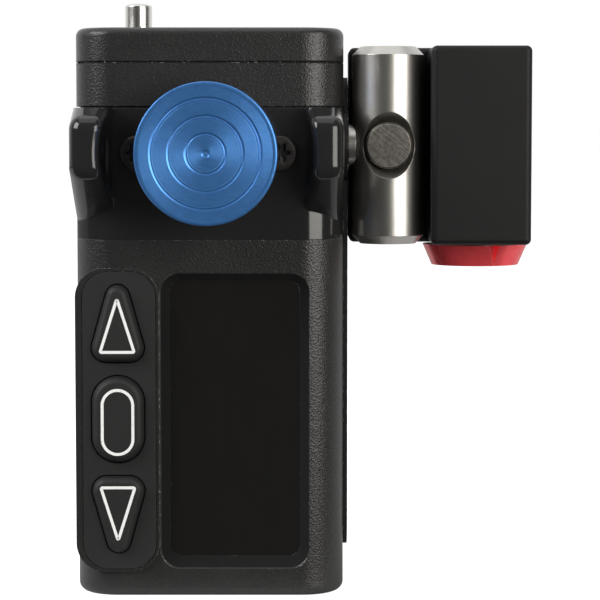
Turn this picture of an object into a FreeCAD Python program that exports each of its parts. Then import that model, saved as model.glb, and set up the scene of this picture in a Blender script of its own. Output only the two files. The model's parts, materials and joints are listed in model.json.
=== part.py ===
import FreeCAD, Part
import math
import os
import Sketcher

# Zoom control handle: a palm-sized box with a thumb rocker, a keypad and a display, held at its
# side by a tilting bracket whose block clamps a 15 mm rod.
# Millimetres. X runs across the handle, Y from front to back, Z up.
# The origin is the middle of the handle's flat base.

# Driving dimensions
DIMENSIONS = {
    # Handle casings, stacked from the base up
    "body_width": 48.0,
    "body_depth": 33.0,
    "body_corner": 7.5,
    "main_height": 64.0,
    "module_height": 23.4,
    "module_gasket_thick": 0.3,
    "upper_height": 7.7,
    "cap_gasket_thick": 0.2,
    "cap_height": 6.0,
    "gasket_inset": 0.7,
    "base_round": 1.6,
    "cap_round": 1.4,
    "side_wall": 5.0,
    "front_wall": 5.0,
    "rear_wall": 4.5,
    "base_wall": 3.0,
    "cavity_corner": 0.6,
    "module_front_wall": 3.5,
    "module_deck": 2.0,
    "cap_web": 2.6,
    "upper_floor": 1.6,
    "wire_hole": 5.0,
    # Display in the front of the main housing
    "display_low": 5.0,
    "display_gap": 0.1,
    "display_side": 6.0,
    "display_top": 5.8,
    "display_corner": 3.6,
    "bevel_side": 1.85,
    "bevel_top": 1.4,
    "bevel_low": 2.2,
    "bevel_depth": 1.5,
    "window_corner": 1.9,
    "window_thick": 1.0,
    "window_ledge": 1.0,
    "panel_gap": 0.15,
    "board_thick": 1.2,
    "board_overlap": 2.2,
    # Keypad beside the display
    "keypad_side": 8.0,
    "keypad_drop": 0.2,
    "mat_width": 13.0,
    "mat_corner": 4.6,
    "mat_thick": 2.0,
    "mat_proud": 0.2,
    "mat_gap": 0.05,
    "boss_rim_low": 0.6,
    "boss_rim_right": 0.6,
    "boss_rim_left": 1.3,
    "boss_corner": 5.2,
    "boss_proud": 0.5,
    "boss_run": 8.0,
    "key_shift": 0.2,
    "key_rise": 0.3,
    "key_pitch": 17.1,
    "key_end": 9.5,
    "key_width": 9.3,
    "key_height": 13.8,
    "oval_height": 15.5,
    "key_foot_round": 2.6,
    "key_tip_round": 2.1,
    "key_proud": 1.4,
    "key_round": 0.8,
    "key_gap": 0.2,
    "key_lip": 0.6,
    "key_lip_thick": 1.0,
    "key_lip_gap": 0.3,
    "switch_side": 4.0,
    "switch_rise": 1.4,
    # Thumb rocker between the finger guards
    "knob_rise": 15.4,
    "knob_radius": 12.4,
    "knob_front": 13.5,
    "knob_thick": 5.0,
    "knob_edge": 0.8,
    "knob_hub_radius": 4.5,
    "knob_hub_length": 3.0,
    "set_screw_radius": 1.0,
    "set_screw_recess": 0.3,
    "set_screw_hex": 0.55,
    "set_screw_socket": 0.8,
    "ring_inner": 3.45,
    "ring_middle": 6.5,
    "ring_outer": 9.55,
    "ring_width": 0.5,
    "ring_depth": 0.25,
    "dimple_radius": 0.85,
    "dimple_depth": 0.45,
    "stem_radius": 2.5,
    "stem_socket": 5.5,
    "stem_hole": 4.6,
    "rocker_setback": 12.5,
    "hub_radius": 3.3,
    "hub_height": 6.6,
    "hub_gap": 0.3,
    "pivot_radius": 1.5,
    "running_gap": 0.04,
    "yoke_half": 3.5,
    "yoke_ear": 2.0,
    "yoke_plate": 2.5,
    "yoke_reach": 8.6,
    "yoke_margin": 2.5,
    "tail_half": 1.2,
    "tail_start": 2.0,
    "tail_thick": 2.0,
    "tail_lap": 0.2,
    "peg_radius": 0.6,
    "peg_swing": 1.0,
    "peg_slack": 0.5,
    "peg_offset": 4.6,
    "fixed_peg_offset": 7.2,
    "peg_length": 5.6,
    "spring_radius": 2.6,
    "spring_wire": 0.5,
    "spring_turns": 3.5,
    "spring_end_gap": 0.4,
    "spring_leg_over": 0.2,
    "clip_thick": 0.6,
    "clip_groove": 0.4,
    "clip_radius": 3.1,
    "magnet_radius": 1.2,
    "magnet_length": 1.5,
    "magnet_reach": 5.7,
    "magnet_seat": 4.7,
    "magnet_seat_half": 1.9,
    "chip_half": 1.5,
    "chip_thick": 0.6,
    "sensor_board_half": 6.0,
    "sensor_gap": 0.7,
    "guard_screw_gap": 1.1,
    "panel_screw_head": 3.1,
    "panel_screw_rise": 1.6,
    "panel_screw_radius": 1.25,
    "star_radius": 1.9,
    # Finger guards
    "guard_thick": 7.1,
    "guard_scoop": 18.7,
    "guard_reach": 9.6,
    "guard_foot_set": 0.5,
    "guard_slope": 11.6,
    "guard_brow": 2.1,
    "guard_crest": 4.4,
    "guard_bend": 2.9,
    "guard_outer_round": 2.5,
    "guard_inner_round": 1.4,
    "guard_root": 4.5,
    "guard_side_step": 0.05,
    # Run button on the top
    "button_side": 10.9,
    "button_setback": 12.5,
    "button_radius": 2.45,
    "button_rise": 4.8,
    "button_dome": 0.7,
    "button_gap": 0.05,
    "bush_wall": 1.0,
    "bush_rise": 0.3,
    "bush_drop": 0.2,
    "button_lip": 0.85,
    "button_lip_thick": 1.0,
    "button_lip_gap": 0.15,
    "button_foot_radius": 1.5,
    "button_foot": 1.7,
    "button_travel_room": 1.7,
    "switch_body": 6.0,
    "actuator_rise": 0.3,
    "actuator_radius": 1.2,
    "switch_board_spare": 4.0,
    "return_wire": 0.5,
    "return_radius": 2.6,
    "return_turns": 4.0,
    "return_end_gap": 0.05,
    # Screws
    "tie_radius": 1.0,
    "tie_head": 1.9,
    "tie_head_height": 1.3,
    "tie_inset": 2.5,
    "tie_front": 14.5,
    "tie_rear": 5.5,
    "tie_bite": 5.5,
    "cap_screw_radius": 1.0,
    "cap_screw_head": 1.9,
    "cap_screw_inset": 3.3,
    "cap_screw_end": 9.0,
    "cap_screw_bite": 3.0,
    "hex_share": 0.85,
    "hex_depth_share": 0.6,
    "screw_hole_gap": 0.1,
    "thread_gap": 0.03,
    "thread_room": 0.3,
    "socket_depth": 1.0,
    # Rear cover and control socket
    "cover_side": 7.6,
    "cover_low": 4.5,
    "cover_top": 4.5,
    "cover_corner": 2.4,
    "cover_thick": 1.6,
    "cover_gap": 0.1,
    "cover_ledge": 3.6,
    "cover_screw_radius": 0.8,
    "cover_screw_head": 1.4,
    "cover_screw_bite": 2.2,
    "socket_centre": 17.0,
    "socket_bore": 3.5,
    "socket_wall": 1.0,
    "socket_flange": 6.0,
    "socket_rise": 1.5,
    "socket_length": 10.0,
    "socket_mouth": 6.0,
    "socket_seat": 0.4,
    "socket_rest": 0.2,
    "socket_nut_radius": 6.2,
    "socket_nut_thick": 1.6,
    "contact_radius": 0.35,
    "contact_circle": 1.9,
    "contact_length": 1.0,
    "contact_count": 6,
    # Main board on its stand-offs
    "board_side_gap": 0.5,
    "main_board_low": 6.0,
    "main_board_top": 4.0,
    "standoff_inset": 3.0,
    "standoff_radius": 1.5,
    "standoff_length": 7.0,
    "standoff_low": 12.0,
    "board_screw_head": 1.4,
    "board_screw_radius": 0.8,
    "board_screw_length": 4.0,
    # Side plate of the tilt joint
    "plate_thick": 0.8,
    "plate_margin": 0.2,
    "plate_low": 7.5,
    "plate_drop": 2.4,
    "plate_corner": 5.0,
    "plate_pad": 6.2,
    "plate_screw_y": 4.5,
    "plate_screw_low": 14.0,
    "plate_screw_top": 12.0,
    "plate_screw_module": 7.0,
    "plate_screw_upper": 2.3,
    "plate_screw_radius": 1.2,
    "plate_screw_length": 4.2,
    "plate_sink_share": 0.95,
    # Tilt joint
    "tilt_setback": 8.0,
    "tilt_rise": 16.75,
    "stud_radius": 2.5,
    "stud_head": 4.0,
    "stud_head_thick": 1.6,
    "stud_gap": 0.05,
    "stud_bite": 3.0,
    "stud_hex": 1.7,
    "tilt_bush_wall": 0.7,
    "tilt_bush_flange": 3.8,
    "tilt_bush_flange_thick": 0.8,
    "tilt_spring_thick": 0.7,
    "tilt_gap": 0.1,
    "saddle_radius": 3.7,
    "saddle_thick": 1.3,
    # Bracket
    "post_offset": 7.25,
    "post_radius": 6.5,
    "post_end": 1.5,
    "bracket_height": 35.3,
    "dowel_radius": 4.15,
    "dowel_gap": 0.05,
    "dowel_recess": 0.7,
    "dowel_length": 10.5,
    "dowel_bevel": 0.35,
    "sink_radius": 5.95,
    "sink_depth": 2.5,
    "block_gap": 0.95,
    "block_width": 17.8,
    "block_lead": 8.0,
    "block_depth": 31.0,
    "block_round": 1.1,
    "block_rim_round": 1.0,
    "web_gap": 0.3,
    "web_set": 4.0,
    "web_thick": 11.5,
    "post_screw_radius": 1.5,
    "post_screw_head": 2.75,
    "post_screw_head_height": 3.0,
    "post_screw_inset": 6.0,
    "post_screw_bite": 4.2,
    "post_screw_sunk": 0.3,
    "post_screw_hex": 1.4,
    "post_screw_socket": 1.5,
    # Rod clamp
    "rod_bore": 7.55,
    "rod_drop": 14.9,
    "rod_depth": 16.0,
    "clamp_inset": 8.95,
    "clamp_depth": 15.4,
    "shoe_side": 8.8,
    "shoe_gap": 0.1,
    "shoe_clear": 0.3,
    "shoe_height": 6.5,
    "shoe_drop": 6.7,
    "clamp_screw_radius": 3.0,
    "clamp_screw_bite": 3.3,
    "shoe_room": 0.4,
    "screw_bush_radius": 4.1,
    "screw_bush_length": 5.6,
    "thrust_thick": 0.3,
    "thrust_radius": 7.0,
    "red_gap": 0.1,
    "red_top_radius": 9.6,
    "red_foot_radius": 7.95,
    "red_height": 3.8,
    "red_notches": 5,
    "red_notch_depth": 1.5,
    "red_notch_first": 20.5,
    "red_notch_foot": 0.3,
    "red_notch_tip": 0.05,
    "red_notch_over": 0.1,
    "red_notch_clear": 1.5,
    "red_notch_left": 1.1,
    "red_notch_right": 0.45,
    "red_floor": 0.8,
    "screw_groove": 0.5,
    "screw_clip_gap": 0.2,
    "screw_clip_thick": 0.7,
    "screw_clip_radius": 4.1,
}

doc = FreeCAD.newDocument("zoom_control_handle")
subparts = []


class Size:
    """A number of millimetres together with the sheet expression that gives it."""

    def __init__(self, number, text):
        self.number = number
        self.text = text

    def __add__(self, other):
        other = as_size(other)
        return Size(self.number + other.number, f"({self.text} + {other.text})")

    def __sub__(self, other):
        other = as_size(other)
        return Size(self.number - other.number, f"({self.text} - {other.text})")

    def __mul__(self, other):
        other = as_size(other)
        return Size(self.number * other.number, f"({self.text} * {other.text})")

    def __truediv__(self, other):
        other = as_size(other)
        return Size(self.number / other.number, f"({self.text} / {other.text})")

    def __radd__(self, other):
        return as_size(other) + self

    def __rsub__(self, other):
        return as_size(other) - self

    def __rmul__(self, other):
        return as_size(other) * self

    def __neg__(self):
        return Size(-self.number, f"(0 - {self.text})")


def as_size(value):
    """Take a plain number as a Size."""
    if isinstance(value, Size):
        return value
    return Size(float(value), f"({value})")


class Sizes:
    """The driving dimensions, held in the document's spreadsheet."""

    def __init__(self):
        sheet = doc.addObject("Spreadsheet::Sheet", "Sizes")
        for row, (name, number) in enumerate(DIMENSIONS.items(), start=1):
            sheet.set(f"A{row}", name)
            sheet.set(f"B{row}", str(number))
            sheet.setAlias(f"B{row}", name)
        doc.recompute()
        for name in DIMENSIONS:
            setattr(self, name, Size(float(getattr(sheet, name)), f"Sizes.{name}"))


d = Sizes()


# Places that several sub-parts share

front = -d.body_depth / 2
back = d.body_depth / 2
side = d.body_width / 2
module_low = d.main_height
module_high = module_low + d.module_height
upper_low = module_high + d.module_gasket_thick
upper_high = upper_low + d.upper_height
cap_low = upper_high + d.cap_gasket_thick
cap_high = cap_low + d.cap_height
cavity_side = side - d.side_wall
cavity_rear = back - d.rear_wall
main_cavity_front = front + d.front_wall
module_cavity_front = front + d.module_front_wall

keypad_centre = d.keypad_side - side
keypad_middle = d.main_height / 2 - d.keypad_drop
boss_front = front - d.boss_proud
mat_front = boss_front - d.mat_proud
mat_back = mat_front + d.mat_thick
mat_left = keypad_centre - d.mat_width / 2
mat_right = keypad_centre + d.mat_width / 2
mat_low = keypad_middle - d.key_pitch - d.key_end
mat_high = keypad_middle + d.key_pitch + d.key_end
key_x = keypad_centre - d.key_shift
key_middle = keypad_middle + d.key_rise
key_centres = [key_middle + d.key_pitch, key_middle, key_middle - d.key_pitch]
key_front = mat_front - d.key_proud
key_lip_front = mat_back + d.key_lip_gap
key_back = key_lip_front + d.key_lip_thick

window_front = front + d.bevel_depth
panel_front = window_front + d.window_thick
display_left = mat_right + d.boss_rim_right + d.display_gap
display_right = side - d.display_side
display_high = d.main_height - d.display_top
window_left = display_left + d.bevel_side
window_right = display_right - d.bevel_side
window_low = d.display_low + d.bevel_low
window_high = display_high - d.bevel_top

knob_centre = module_low + d.knob_rise
knob_face = front - d.knob_front
knob_rear = knob_face + d.knob_thick + d.knob_hub_length
rocker_axis = front + d.rocker_setback
hub_low = knob_centre - d.hub_height / 2
hub_high = knob_centre + d.hub_height / 2
low_ear_high = hub_low - d.hub_gap
low_ear_low = low_ear_high - d.yoke_ear
high_ear_low = hub_high + d.hub_gap
high_ear_high = high_ear_low + d.yoke_ear
peg_foot = hub_low - d.peg_length
pin_foot = peg_foot - 2 * d.clip_thick
guard_inner = side - d.guard_thick
panel_screw_offset = guard_inner - d.panel_screw_head - d.guard_screw_gap
button_x = d.button_side - side
button_y = front + d.button_setback

cover_half = side - d.cover_side
cover_high = d.main_height - d.cover_top
cover_front = back - d.cover_thick
board_rear = cavity_rear - d.standoff_length

plate_outer = side + d.plate_thick
plate_half = back - d.body_corner - d.plate_margin
plate_high = upper_high - d.plate_drop
tilt_y = front + d.tilt_setback
tilt_z = module_low + d.tilt_rise
post_x = plate_outer + d.post_offset
post_front = tilt_y - d.post_radius
dowel_front = post_front + d.dowel_recess
bracket_low = tilt_z - d.bracket_height / 2
bracket_high = bracket_low + d.bracket_height
block_left = post_x + d.post_radius + d.block_gap
block_right = block_left + d.block_width
block_face = tilt_y - d.block_lead
web_left = plate_outer + d.web_gap
web_front = tilt_y + d.web_set
web_rear = web_front + d.web_thick
web_post_screws = (bracket_low + d.post_screw_inset, bracket_high - d.post_screw_inset)
clamp_x = block_right - d.clamp_inset
clamp_y = block_face + d.clamp_depth
rod_z = bracket_high - d.rod_drop
shoe_high = rod_z - d.shoe_drop
shoe_low = shoe_high - d.shoe_height
clamp_screw_top = shoe_low + d.clamp_screw_bite
bush_high = bracket_low + d.screw_bush_length
red_high = bracket_low - d.thrust_thick - d.red_gap
red_low = red_high - d.red_height


# Helpers that draw, cut and collect

def bind(thing, path, value):
    """Tie one property to the sheet."""
    thing.setExpression(path, as_size(value).text)


def keep(thing, label):
    """Give a finished sub-part its name and put it on the list."""
    thing.Label = label
    subparts.append(thing)
    return thing


def new_body(label):
    """Start a body for one sub-part."""
    return keep(doc.addObject("PartDesign::Body", "Body"), label)


def new_blank(label):
    """Start a body that a later cut or fusion turns into a sub-part."""
    body = doc.addObject("PartDesign::Body", "Blank")
    body.Label = label + "_blank"
    return body


def new_sketch(body, role, height):
    """Start a sketch at a height along X, Y or Z on one of the body's own planes."""
    sketch = body.newObject("Sketcher::SketchObject", "Sketch")
    plane = next(item for item in body.Origin.OriginFeatures if item.Role == role)
    sketch.AttachmentSupport = [(plane, "")]
    sketch.MapMode = "FlatFace"
    along = -as_size(height) if role == "XZ_Plane" else as_size(height)
    bind(sketch, "AttachmentOffset.Base.z", along)
    return sketch


def locate(sketch, item, point, x, y):
    """Fix one point of a sketch at a place given from the origin."""
    for kind, axis, value in (("DistanceX", -2, as_size(x)), ("DistanceY", -1, as_size(y))):
        if abs(value.number) < 1e-9:
            sketch.addConstraint(Sketcher.Constraint("PointOnObject", item, point, axis))
            continue
        ends = (-1, 1, item, point) if value.number > 0 else (item, point, -1, 1)
        spot = sketch.addConstraint(Sketcher.Constraint(kind, *ends, abs(value.number)))
        distance = value if value.number > 0 else -value
        bind(sketch, f"Constraints[{spot}]", distance)


def draw_circle(sketch, x, y, radius):
    """Draw a circle."""
    x, y, radius = as_size(x), as_size(y), as_size(radius)
    middle = FreeCAD.Vector(x.number, y.number, 0)
    item = sketch.addGeometry(Part.Circle(middle, FreeCAD.Vector(0, 0, 1), radius.number))
    locate(sketch, item, 3, x, y)
    spot = sketch.addConstraint(Sketcher.Constraint("Radius", item, radius.number))
    bind(sketch, f"Constraints[{spot}]", radius)


def draw_polygon(sketch, points):
    """Draw a closed outline of straight lines."""
    spots = [(as_size(x), as_size(y)) for x, y in points]
    corners = [FreeCAD.Vector(x.number, y.number, 0) for x, y in spots]
    lines = []
    for start, end in zip(corners, corners[1:] + corners[:1]):
        lines.append(sketch.addGeometry(Part.LineSegment(start, end)))
    for line, following in zip(lines, lines[1:] + lines[:1]):
        sketch.addConstraint(Sketcher.Constraint("Coincident", line, 2, following, 1))
    for line, (x, y) in zip(lines, spots):
        locate(sketch, line, 1, x, y)


def draw_rectangle(sketch, left, right, low, high, radius):
    """Draw a rectangle with four round corners."""
    left, right, low, high = as_size(left), as_size(right), as_size(low), as_size(high)
    radius = as_size(radius)
    x0, x1, y0, y1, r = left.number, right.number, low.number, high.number, radius.number
    ends = [((x0 + r, y0), (x1 - r, y0)), ((x1, y0 + r), (x1, y1 - r)),
            ((x1 - r, y1), (x0 + r, y1)), ((x0, y1 - r), (x0, y0 + r))]
    middles = [(x1 - r, y0 + r), (x1 - r, y1 - r), (x0 + r, y1 - r), (x0 + r, y0 + r)]
    lines = []
    arcs = []
    for number, ((start, end), middle) in enumerate(zip(ends, middles)):
        line = Part.LineSegment(FreeCAD.Vector(*start, 0), FreeCAD.Vector(*end, 0))
        lines.append(sketch.addGeometry(line))
        circle = Part.Circle(FreeCAD.Vector(*middle, 0), FreeCAD.Vector(0, 0, 1), r)
        turn = (number - 1) * math.pi / 2
        arcs.append(sketch.addGeometry(Part.ArcOfCircle(circle, turn, turn + math.pi / 2)))
    for number in range(4):
        sketch.addConstraint(Sketcher.Constraint("Tangent", lines[number], 2, arcs[number], 1))
        following = lines[(number + 1) % 4]
        sketch.addConstraint(Sketcher.Constraint("Tangent", arcs[number], 2, following, 1))
        direction = "Horizontal" if number % 2 == 0 else "Vertical"
        sketch.addConstraint(Sketcher.Constraint(direction, lines[number]))
    for arc in arcs[1:]:
        sketch.addConstraint(Sketcher.Constraint("Equal", arcs[0], arc))
    spot = sketch.addConstraint(Sketcher.Constraint("Radius", arcs[0], r))
    bind(sketch, f"Constraints[{spot}]", radius)
    locate(sketch, lines[0], 1, left + radius, low)
    locate(sketch, lines[2], 1, right - radius, high)


def pad(body, sketch, length, backwards=False, middle=False):
    """Add material along the sketch's normal."""
    feature = body.newObject("PartDesign::Pad", "Pad")
    feature.Profile = sketch
    feature.Reversed = backwards
    feature.Midplane = middle
    bind(feature, "Length", length)
    doc.recompute()
    return feature


def pocket(body, sketch, length, backwards=False):
    """Take material away against the sketch's normal, and check that some went."""
    before = body.Shape.Volume
    feature = body.newObject("PartDesign::Pocket", "Pocket")
    feature.Profile = sketch
    feature.Reversed = backwards
    bind(feature, "Length", length)
    doc.recompute()
    if body.Shape.Volume > before - 1e-6:
        raise ValueError(f"a pocket in {body.Label} cuts nothing")
    return feature


def dress(body, kind, size, chosen):
    """Fillet or chamfer the edges of the last feature that a test picks."""
    base = body.Tip
    names = [f"Edge{i}" for i, edge in enumerate(base.Shape.Edges, 1) if chosen(edge)]
    if not names:
        raise ValueError(f"no edge to dress in {body.Label}")
    feature = body.newObject(f"PartDesign::{kind}", kind)
    feature.Base = (base, names)
    bind(feature, "Radius" if kind == "Fillet" else "Size", size)
    doc.recompute()
    return feature


def flat_at(level):
    """Test for edges that lie wholly at one height."""
    level = as_size(level).number
    return lambda edge: max(abs(edge.BoundBox.ZMin - level), abs(edge.BoundBox.ZMax - level)) < 1e-4


def box(x0, x1, y0, y1, z0, z1):
    """Make a block between two corners."""
    solid = doc.addObject("Part::Box", "Block")
    spans = (("Length", "x", x0, x1), ("Width", "y", y0, y1), ("Height", "z", z0, z1))
    for name, axis, low, high in spans:
        bind(solid, name, as_size(high) - low)
        bind(solid, f"Placement.Base.{axis}", low)
    return solid


# Share of a round's radius from the square corner to the middle of the arc, along each side
BEND = 1 - math.sqrt(0.5)
TINY = 1e-3

TURNS = {
    "X": FreeCAD.Rotation(FreeCAD.Vector(0, 1, 0), 90),
    "Y": FreeCAD.Rotation(FreeCAD.Vector(1, 0, 0), -90),
    "Z": FreeCAD.Rotation(),
}


def stand(solid, axis, x, y, z):
    """Turn a solid made along Z to an axis and put its foot at a place."""
    solid.Placement = FreeCAD.Placement(FreeCAD.Vector(), TURNS[axis])
    for name, value in (("x", x), ("y", y), ("z", z)):
        bind(solid, f"Placement.Base.{name}", value)
    return solid


def rod(axis, radius, length, x, y, z):
    """Make a cylinder that runs from a foot along an axis."""
    solid = doc.addObject("Part::Cylinder", "Rod")
    bind(solid, "Radius", radius)
    bind(solid, "Height", length)
    return stand(solid, axis, x, y, z)


def cone(axis, foot_radius, far_radius, length, x, y, z):
    """Make a cone that runs from a foot along an axis."""
    solid = doc.addObject("Part::Cone", "Taper")
    bind(solid, "Radius1", foot_radius)
    bind(solid, "Radius2", far_radius)
    bind(solid, "Height", length)
    return stand(solid, axis, x, y, z)


def prism(axis, sides, radius, length, x, y, z):
    """Make a bar with a regular section that runs from a foot along an axis."""
    solid = doc.addObject("Part::Prism", "Prism")
    solid.Polygon = sides
    bind(solid, "Circumradius", radius)
    bind(solid, "Height", length)
    return stand(solid, axis, x, y, z)


def fuse(*solids):
    """Join solids into one."""
    joined = doc.addObject("Part::MultiFuse", "Fusion")
    joined.Shapes = list(solids)
    joined.Refine = True
    return joined


def cut(base, *tools):
    """Take solids away from another."""
    result = doc.addObject("Part::Cut", "Cut")
    result.Base = base
    result.Tool = tools[0] if len(tools) == 1 else fuse(*tools)
    result.Refine = True
    return result


def group(solids):
    """Hold alike solids together without joining them."""
    held = doc.addObject("Part::Compound", "Group")
    held.Links = list(solids)
    return held


def ring(axis, outer, inner, length, x, y, z):
    """Make a washer or a bush."""
    return cut(rod(axis, outer, length, x, y, z), rod(axis, inner, length, x, y, z))


def plate(body, role, at, thick, left, right, low, high, radius):
    """Make a flat plate with round corners."""
    sketch = new_sketch(body, role, at)
    draw_rectangle(sketch, left, right, low, high, radius)
    pad(body, sketch, thick, backwards=role == "XZ_Plane")
    return body


def cavity(body, at, front_side, rear_side, depth, backwards):
    """Hollow a casing with a round-cornered pocket."""
    sketch = new_sketch(body, "XY_Plane", at)
    draw_rectangle(sketch, -cavity_side, cavity_side, front_side, rear_side, d.cavity_corner)
    pocket(body, sketch, depth, backwards)


def holes(body, role, at, places, radius, depth, backwards=False):
    """Drill alike round holes from one plane."""
    sketch = new_sketch(body, role, at)
    for x, y in places:
        draw_circle(sketch, x, y, radius)
    pocket(body, sketch, depth, backwards)


def casing(body, low, height):
    """Start one casing of the stack with the handle's outline."""
    sketch = new_sketch(body, "XY_Plane", low)
    draw_rectangle(sketch, -side, side, front, back, d.body_corner)
    pad(body, sketch, height)
    return body


tie_places = [(x, y) for y in (front + d.tie_front, back - d.tie_rear)
              for x in (d.tie_inset - side, side - d.tie_inset)]
cap_screw_places = [(x, y) for y in (front + d.cap_screw_end, back - d.cap_screw_end)
                    for x in (d.cap_screw_inset - side, side - d.cap_screw_inset)]
plate_screw_main_top = d.main_height - d.plate_screw_top
plate_screw_heights = [d.plate_screw_low, (d.plate_screw_low + plate_screw_main_top) / 2,
                       plate_screw_main_top, module_low + d.plate_screw_module,
                       upper_low + d.plate_screw_upper]


# Keys

def hull_face(circles, grow, y):
    """Face at depth y bounded by a belt laid round circles listed anticlockwise."""
    edges = []
    touches = []
    for (xa, za, ra), (xb, zb, rb) in zip(circles, circles[1:] + circles[:1]):
        ra, rb = ra + grow, rb + grow
        distance = math.hypot(xb - xa, zb - za)
        lean = math.atan2(zb - za, xb - xa) - math.acos((ra - rb) / distance)
        touches.append(((xa + ra * math.cos(lean), za + ra * math.sin(lean)),
                        (xb + rb * math.cos(lean), zb + rb * math.sin(lean)), lean))
    for number, (start, end, lean) in enumerate(touches):
        following = touches[(number + 1) % len(touches)]
        x, z, r = circles[(number + 1) % len(circles)]
        turn = (following[2] - lean) % (2 * math.pi)
        half = lean + turn / 2
        a = FreeCAD.Vector(start[0], y, start[1])
        b = FreeCAD.Vector(end[0], y, end[1])
        mid = FreeCAD.Vector(x + (r + grow) * math.cos(half), y, z + (r + grow) * math.sin(half))
        c = FreeCAD.Vector(following[0][0], y, following[0][1])
        edges.append(Part.LineSegment(a, b).toShape())
        edges.append(Part.Arc(b, mid, c).toShape())
    return Part.Face(Part.Wire(edges))


def key_circles(number):
    """Circles whose belt is a key's outline: a triangle up, an oval, a triangle down."""
    x = key_x.number
    z = key_centres[number].number
    foot = d.key_foot_round.number
    tip = d.key_tip_round.number
    half = d.key_width.number / 2
    if number == 1:
        reach = d.oval_height.number / 2 - half
        return [(x, z - reach, half), (x, z + reach, half)]
    reach = d.key_height.number / 2
    if number == 0:
        return [(x - half + foot, z - reach + foot, foot), (x + half - foot, z - reach + foot, foot),
                (x, z + reach - tip, tip)]
    return [(x, z - reach + tip, tip), (x + half - foot, z + reach - foot, foot),
            (x - half + foot, z + reach - foot, foot)]


def key_prism(number, grow, start, end):
    """Solid with a key's outline between two depths."""
    face = hull_face(key_circles(number), grow, start.number)
    return face.extrude(FreeCAD.Vector(0, end.number - start.number, 0))


def make_key(label, number):
    """A moving key: its raised cap and the lip that keeps it behind the mat."""
    cap = key_prism(number, 0, key_front, key_back)
    lip = key_prism(number, d.key_lip.number, key_lip_front, key_back)
    crown = [edge for edge in cap.Edges if abs(edge.BoundBox.YMax - key_front.number) < 1e-6]
    key = doc.addObject("Part::Feature", label)
    key.Shape = cap.makeFillet(d.key_round.number, crown).fuse(lip).removeSplitter()
    keep(key, label)


def add_solid(shape, name):
    """Put a computed solid in the document."""
    item = doc.addObject("Part::Feature", name)
    item.Shape = shape
    return item


# Casings

def make_main_housing():
    """Lower casing with the display recess, the keypad boss and room for the boards."""
    body = casing(new_blank("main_housing"), 0, d.main_height)
    dress(body, "Fillet", d.base_round, flat_at(0))
    boss = new_sketch(body, "XZ_Plane", boss_front)
    draw_rectangle(boss, mat_left - d.boss_rim_left, mat_right + d.boss_rim_right,
                   mat_low - d.boss_rim_low, mat_high + d.boss_rim_low, d.boss_corner)
    pad(body, boss, d.boss_run + d.boss_proud, backwards=True)
    cavity(body, d.main_height, main_cavity_front, cavity_rear, d.main_height - d.base_wall, False)
    recess_display(body)
    mat_pocket = new_sketch(body, "XZ_Plane", boss_front)
    draw_rectangle(mat_pocket, mat_left - d.mat_gap, mat_right + d.mat_gap, mat_low - d.mat_gap,
                   mat_high + d.mat_gap, d.mat_corner)
    pocket(body, mat_pocket, d.mat_thick - d.mat_proud)
    cover_pocket = new_sketch(body, "XZ_Plane", back)
    reach = cover_half + d.cover_gap
    draw_rectangle(cover_pocket, -reach, reach, d.cover_low - d.cover_gap,
                   cover_high + d.cover_gap, d.cover_corner)
    pocket(body, cover_pocket, d.cover_thick, backwards=True)
    opening = new_sketch(body, "XZ_Plane", back)
    reach = cover_half - d.cover_ledge
    draw_rectangle(opening, -reach, reach, d.cover_low + d.cover_ledge,
                   cover_high - d.cover_ledge, d.cavity_corner)
    pocket(body, opening, d.rear_wall, backwards=True)
    holes(body, "XY_Plane", d.main_height, tie_places, d.tie_radius, d.tie_bite)
    holes(body, "XZ_Plane", cover_front, cover_screw_places(),
          d.cover_screw_radius + d.thread_gap, d.cover_screw_bite, True)
    drill_side(body, plate_screw_heights[:3])
    openings = [add_solid(key_prism(number, d.key_lip.number + d.key_gap.number,
                                    mat_back, main_cavity_front), "Opening")
                for number in range(3)]
    keep(cut(body, *openings), "main_housing")


def recess_display(body):
    """Cut the bevelled recess, the seat of the window and the aperture behind it."""
    outer = new_sketch(body, "XZ_Plane", front)
    draw_rectangle(outer, display_left, display_right, d.display_low, display_high,
                   d.display_corner)
    inner = new_sketch(body, "XZ_Plane", window_front)
    draw_rectangle(inner, window_left, window_right, window_low, window_high, d.window_corner)
    bevel = body.newObject("PartDesign::SubtractiveLoft", "Bevel")
    bevel.Profile = outer
    bevel.Sections = [inner]
    bevel.Ruled = True
    doc.recompute()
    seat = new_sketch(body, "XZ_Plane", window_front)
    draw_rectangle(seat, window_left, window_right, window_low, window_high, d.window_corner)
    pocket(body, seat, d.window_thick)
    aperture = new_sketch(body, "XZ_Plane", panel_front)
    draw_rectangle(aperture, window_left + d.window_ledge, window_right - d.window_ledge,
                   window_low + d.window_ledge, window_high - d.window_ledge, d.window_ledge)
    pocket(body, aperture, main_cavity_front - panel_front)


def cover_screw_places():
    """Four places on the ledge round the rear opening."""
    x = cover_half - d.cover_ledge / 2
    low = d.cover_low + d.cover_ledge / 2
    high = cover_high - d.cover_ledge / 2
    return [(-x, low), (x, low), (-x, high), (x, high)]


def drill_side(body, heights):
    """Drill the side plate's screw holes into a casing's right wall."""
    places = [(d.plate_screw_y, height) for height in heights]
    holes(body, "YZ_Plane", side, places, d.plate_screw_radius, d.plate_screw_length)


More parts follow.
